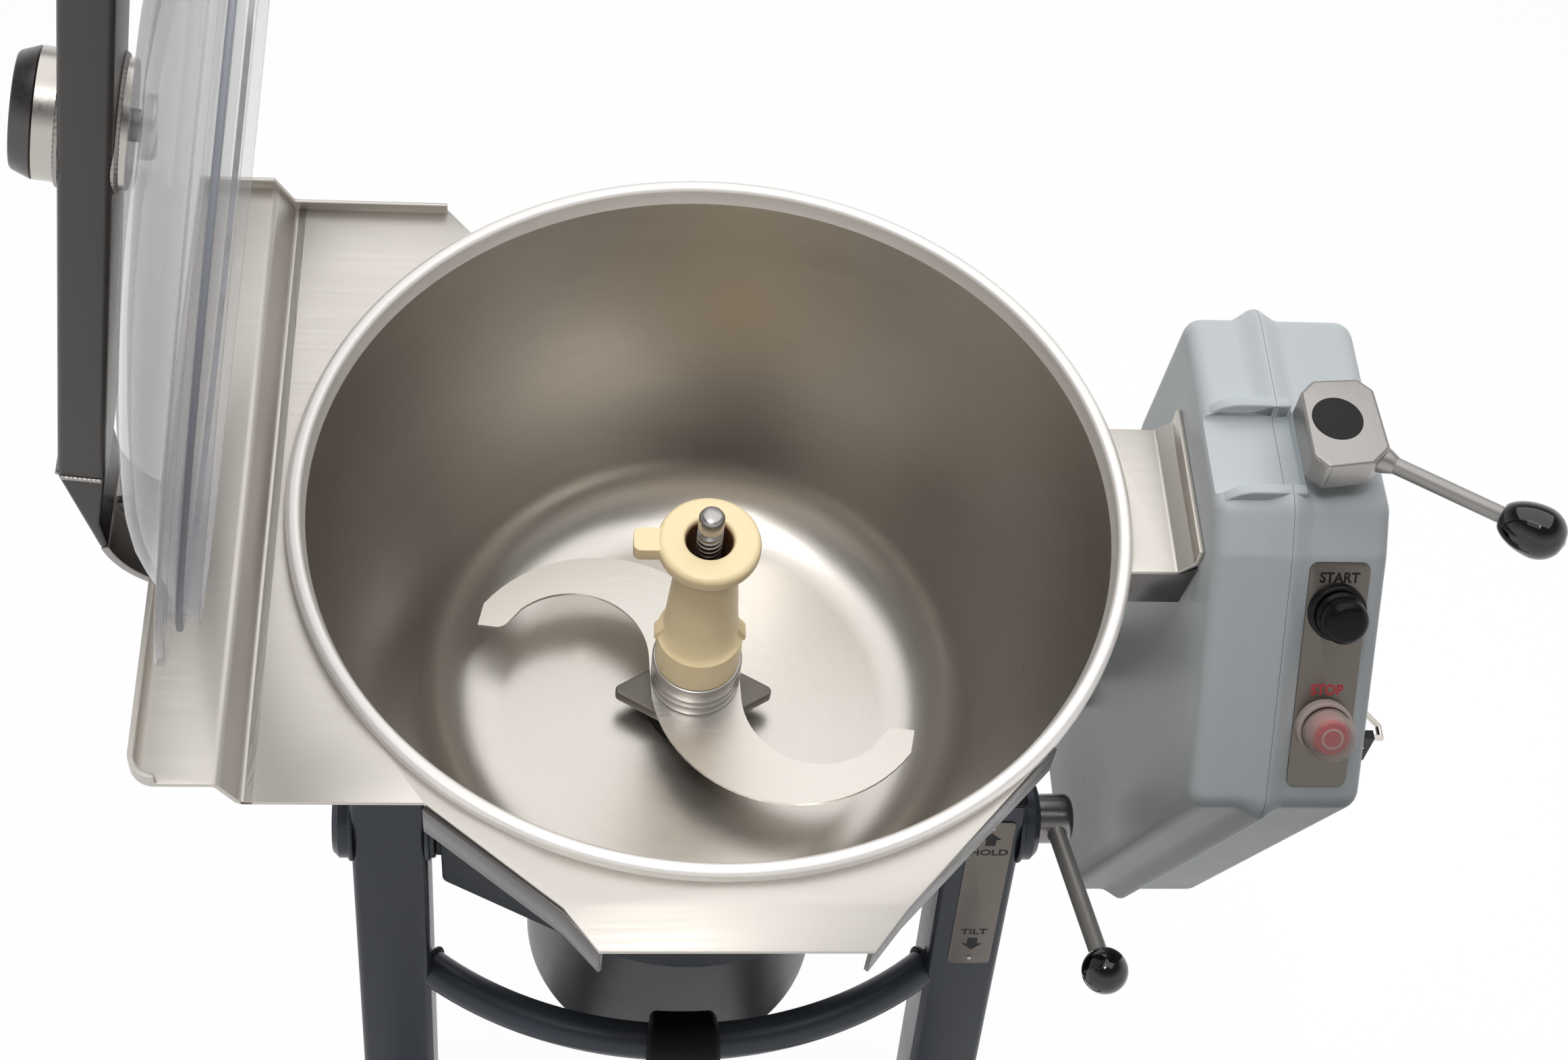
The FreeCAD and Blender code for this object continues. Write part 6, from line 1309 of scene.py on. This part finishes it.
class MIXER_OT_stage(bpy.types.Operator):
    """Sets up the pale floor, the soft light and the camera at the photograph's place."""
    bl_idname = "mixer.stage"
    bl_label = "Stage"

    def execute(self, context):
        self.floor()
        self.world()
        for name, spot, aim, size, power in (
                ("overhead_softbox", (0.45, 0.65, 3.1), (0.4, 0.55, 0.8), (3.5, 3.2), 48.0),
                ("corner_softbox", (-0.5, -0.8, 3.0), (0.0, 0.0, 0.8), (1.2, 0.9), 3.0)):
            self.lamp(name, spot, aim, size, power)
        hub = on_trunnions() @ Vector((0.0, 0.0, -115.0))
        self.spot("bowl_spot", Vector((-0.35, -0.95, 2.9)), Vector((0.0, 0.03, 0.84)), 122.0, 15.5, 0.3)
        self.spot("hub_spot", Vector((-0.25, -1.1, 2.0)), hub, 22.0, 9.0, 0.12)
        bpy.ops.object.camera_add(
            location=(-0.094445, -1.042791, 1.816473),
            rotation=(math.radians(49.030998), math.radians(-4.191312), math.radians(-3.48148)))
        camera = bpy.context.object
        camera.name = "photo_camera"
        camera.data.sensor_width = 36.0
        camera.data.lens = 56.3808
        camera.data.clip_start = 0.05
        camera.data.clip_end = 50.0
        context.scene.camera = camera
        context.scene.view_settings.view_transform = "Standard"
        return {"FINISHED"}

    def lamp(self, name, spot, aim, size, power):
        put_down()
        bpy.ops.object.light_add(type="AREA", location=spot)
        light = bpy.context.object
        light.name = name
        light.data.shape = "RECTANGLE"
        light.data.size, light.data.size_y = size
        light.data.energy = power
        light.rotation_euler = (Vector(aim) - Vector(spot)).to_track_quat("-Z", "Y").to_euler()

    def spot(self, name, spot, aim, power, cone, radius):
        """A narrow soft beam."""
        put_down()
        bpy.ops.object.light_add(type="SPOT", location=spot)
        light = bpy.context.object
        light.name = name
        light.data.energy = power
        light.data.shadow_soft_size = radius
        light.data.spot_size = math.radians(cone)
        light.data.spot_blend = 1.0
        light.rotation_euler = (aim - spot).to_track_quat("-Z", "Y").to_euler()

    def floor(self):
        put_down()
        bpy.ops.mesh.primitive_plane_add(size=14.0, location=(0.0, 0.0, 0.0))
        floor = bpy.context.object
        floor.name = "studio_floor"
        surface = Surface("studio floor", (0.9, 0.9, 0.9), 0.8)
        tree = surface.tree
        paths = surface.node("ShaderNodeLightPath")
        seen = paths.part("Is Camera Ray").math("MAXIMUM", paths.part("Is Glossy Ray"))
        seen = seen.math("MAXIMUM", paths.part("Is Transmission Ray"))
        surface.set("Base Color", surface.blend(seen, (0.2, 0.2, 0.2), (0.9, 0.9, 0.9)))
        glow = tree.nodes.new("ShaderNodeEmission")
        glow.inputs["Color"].default_value = (1.0, 1.0, 1.0, 1.0)
        glow.inputs["Strength"].default_value = 1.12
        mix = tree.nodes.new("ShaderNodeMixShader")
        tree.links.new((seen * 0.82).socket, mix.inputs[0])
        tree.links.new(surface.shader.outputs[0], mix.inputs[1])
        tree.links.new(glow.outputs[0], mix.inputs[2])
        tree.links.new(mix.outputs[0], tree.nodes["Material Output"].inputs["Surface"])
        floor.data.materials.append(surface.material)

    def world(self):
        """A white room up to the horizon and above it a dim ceiling, both also seen in metal and through plastic."""
        world = bpy.data.worlds.new("studio")
        bpy.context.scene.world = world
        world.use_nodes = True
        tree = world.node_tree

        def add(kind, **settings):
            made = tree.nodes.new(kind)
            for key, value in settings.items():
                setattr(made, key, value)
            return made

        lit = tree.nodes["Background"]
        lit.inputs["Color"].default_value = (1.0, 1.0, 1.0, 1.0)
        lit.inputs["Strength"].default_value = 0.14
        where = add("ShaderNodeTexCoord")
        apart = add("ShaderNodeSeparateXYZ")
        fade = add("ShaderNodeMapRange")
        for socket, value in zip(fade.inputs[1:5], (0.12, 0.6, 1.0, 0.18)):
            socket.default_value = value
        tree.links.new(where.outputs["Generated"], apart.inputs[0])
        tree.links.new(apart.outputs["Z"], fade.inputs["Value"])
        seen = add("ShaderNodeBackground")
        seen.inputs["Color"].default_value = (1.0, 1.0, 1.0, 1.0)
        tree.links.new(fade.outputs[0], seen.inputs["Strength"])
        paths = add("ShaderNodeLightPath")
        kinds = [paths.outputs[name] for name in ("Is Camera Ray", "Is Glossy Ray", "Is Transmission Ray")]
        factor = kinds[0]
        for kind in kinds[1:]:
            either = add("ShaderNodeMath", operation="MAXIMUM")
            tree.links.new(factor, either.inputs[0])
            tree.links.new(kind, either.inputs[1])
            factor = either.outputs[0]
        mix = add("ShaderNodeMixShader")
        tree.links.new(factor, mix.inputs[0])
        tree.links.new(lit.outputs[0], mix.inputs[1])
        tree.links.new(seen.outputs[0], mix.inputs[2])
        tree.links.new(mix.outputs[0], tree.nodes["World Output"].inputs["Surface"])


class MIXER_PT_panel(bpy.types.Panel):
    """Lists the mixer's operators, sizes and colours."""
    bl_label = "Vertical Cutter Mixer"
    bl_idname = "MIXER_PT_panel"
    bl_space_type = "VIEW_3D"
    bl_region_type = "UI"
    bl_category = "Mixer"

    def draw(self, context):
        layout = self.layout
        for maker in MAKERS:
            layout.operator(maker.bl_idname)
        for group in (context.scene.mixer_sizes, context.scene.mixer_colours):
            column = layout.column(align=True)
            for key in group.__annotations__:
                column.prop(group, key)


MAKERS = (MIXER_OT_stage, MIXER_OT_finishes, MIXER_OT_bowl, MIXER_OT_deck, MIXER_OT_knife, MIXER_OT_lid,
          MIXER_OT_housing, MIXER_OT_buttons, MIXER_OT_latch, MIXER_OT_stand, MIXER_OT_trunnions,
          MIXER_OT_drive, MIXER_OT_kept)
CLASSES = (MixerSizes, MixerColours, *MAKERS, MIXER_PT_panel)


def register():
    for kind in CLASSES:
        bpy.utils.register_class(kind)
    bpy.types.Scene.mixer_sizes = bpy.props.PointerProperty(type=MixerSizes)
    bpy.types.Scene.mixer_colours = bpy.props.PointerProperty(type=MixerColours)


def unregister():
    del bpy.types.Scene.mixer_colours
    del bpy.types.Scene.mixer_sizes
    for kind in reversed(CLASSES):
        bpy.utils.unregister_class(kind)


def main():
    register()
    for maker in MAKERS:
        group, name = maker.bl_idname.split(".")
        getattr(getattr(bpy.ops, group), name)()


if __name__ == "__main__":
    main()
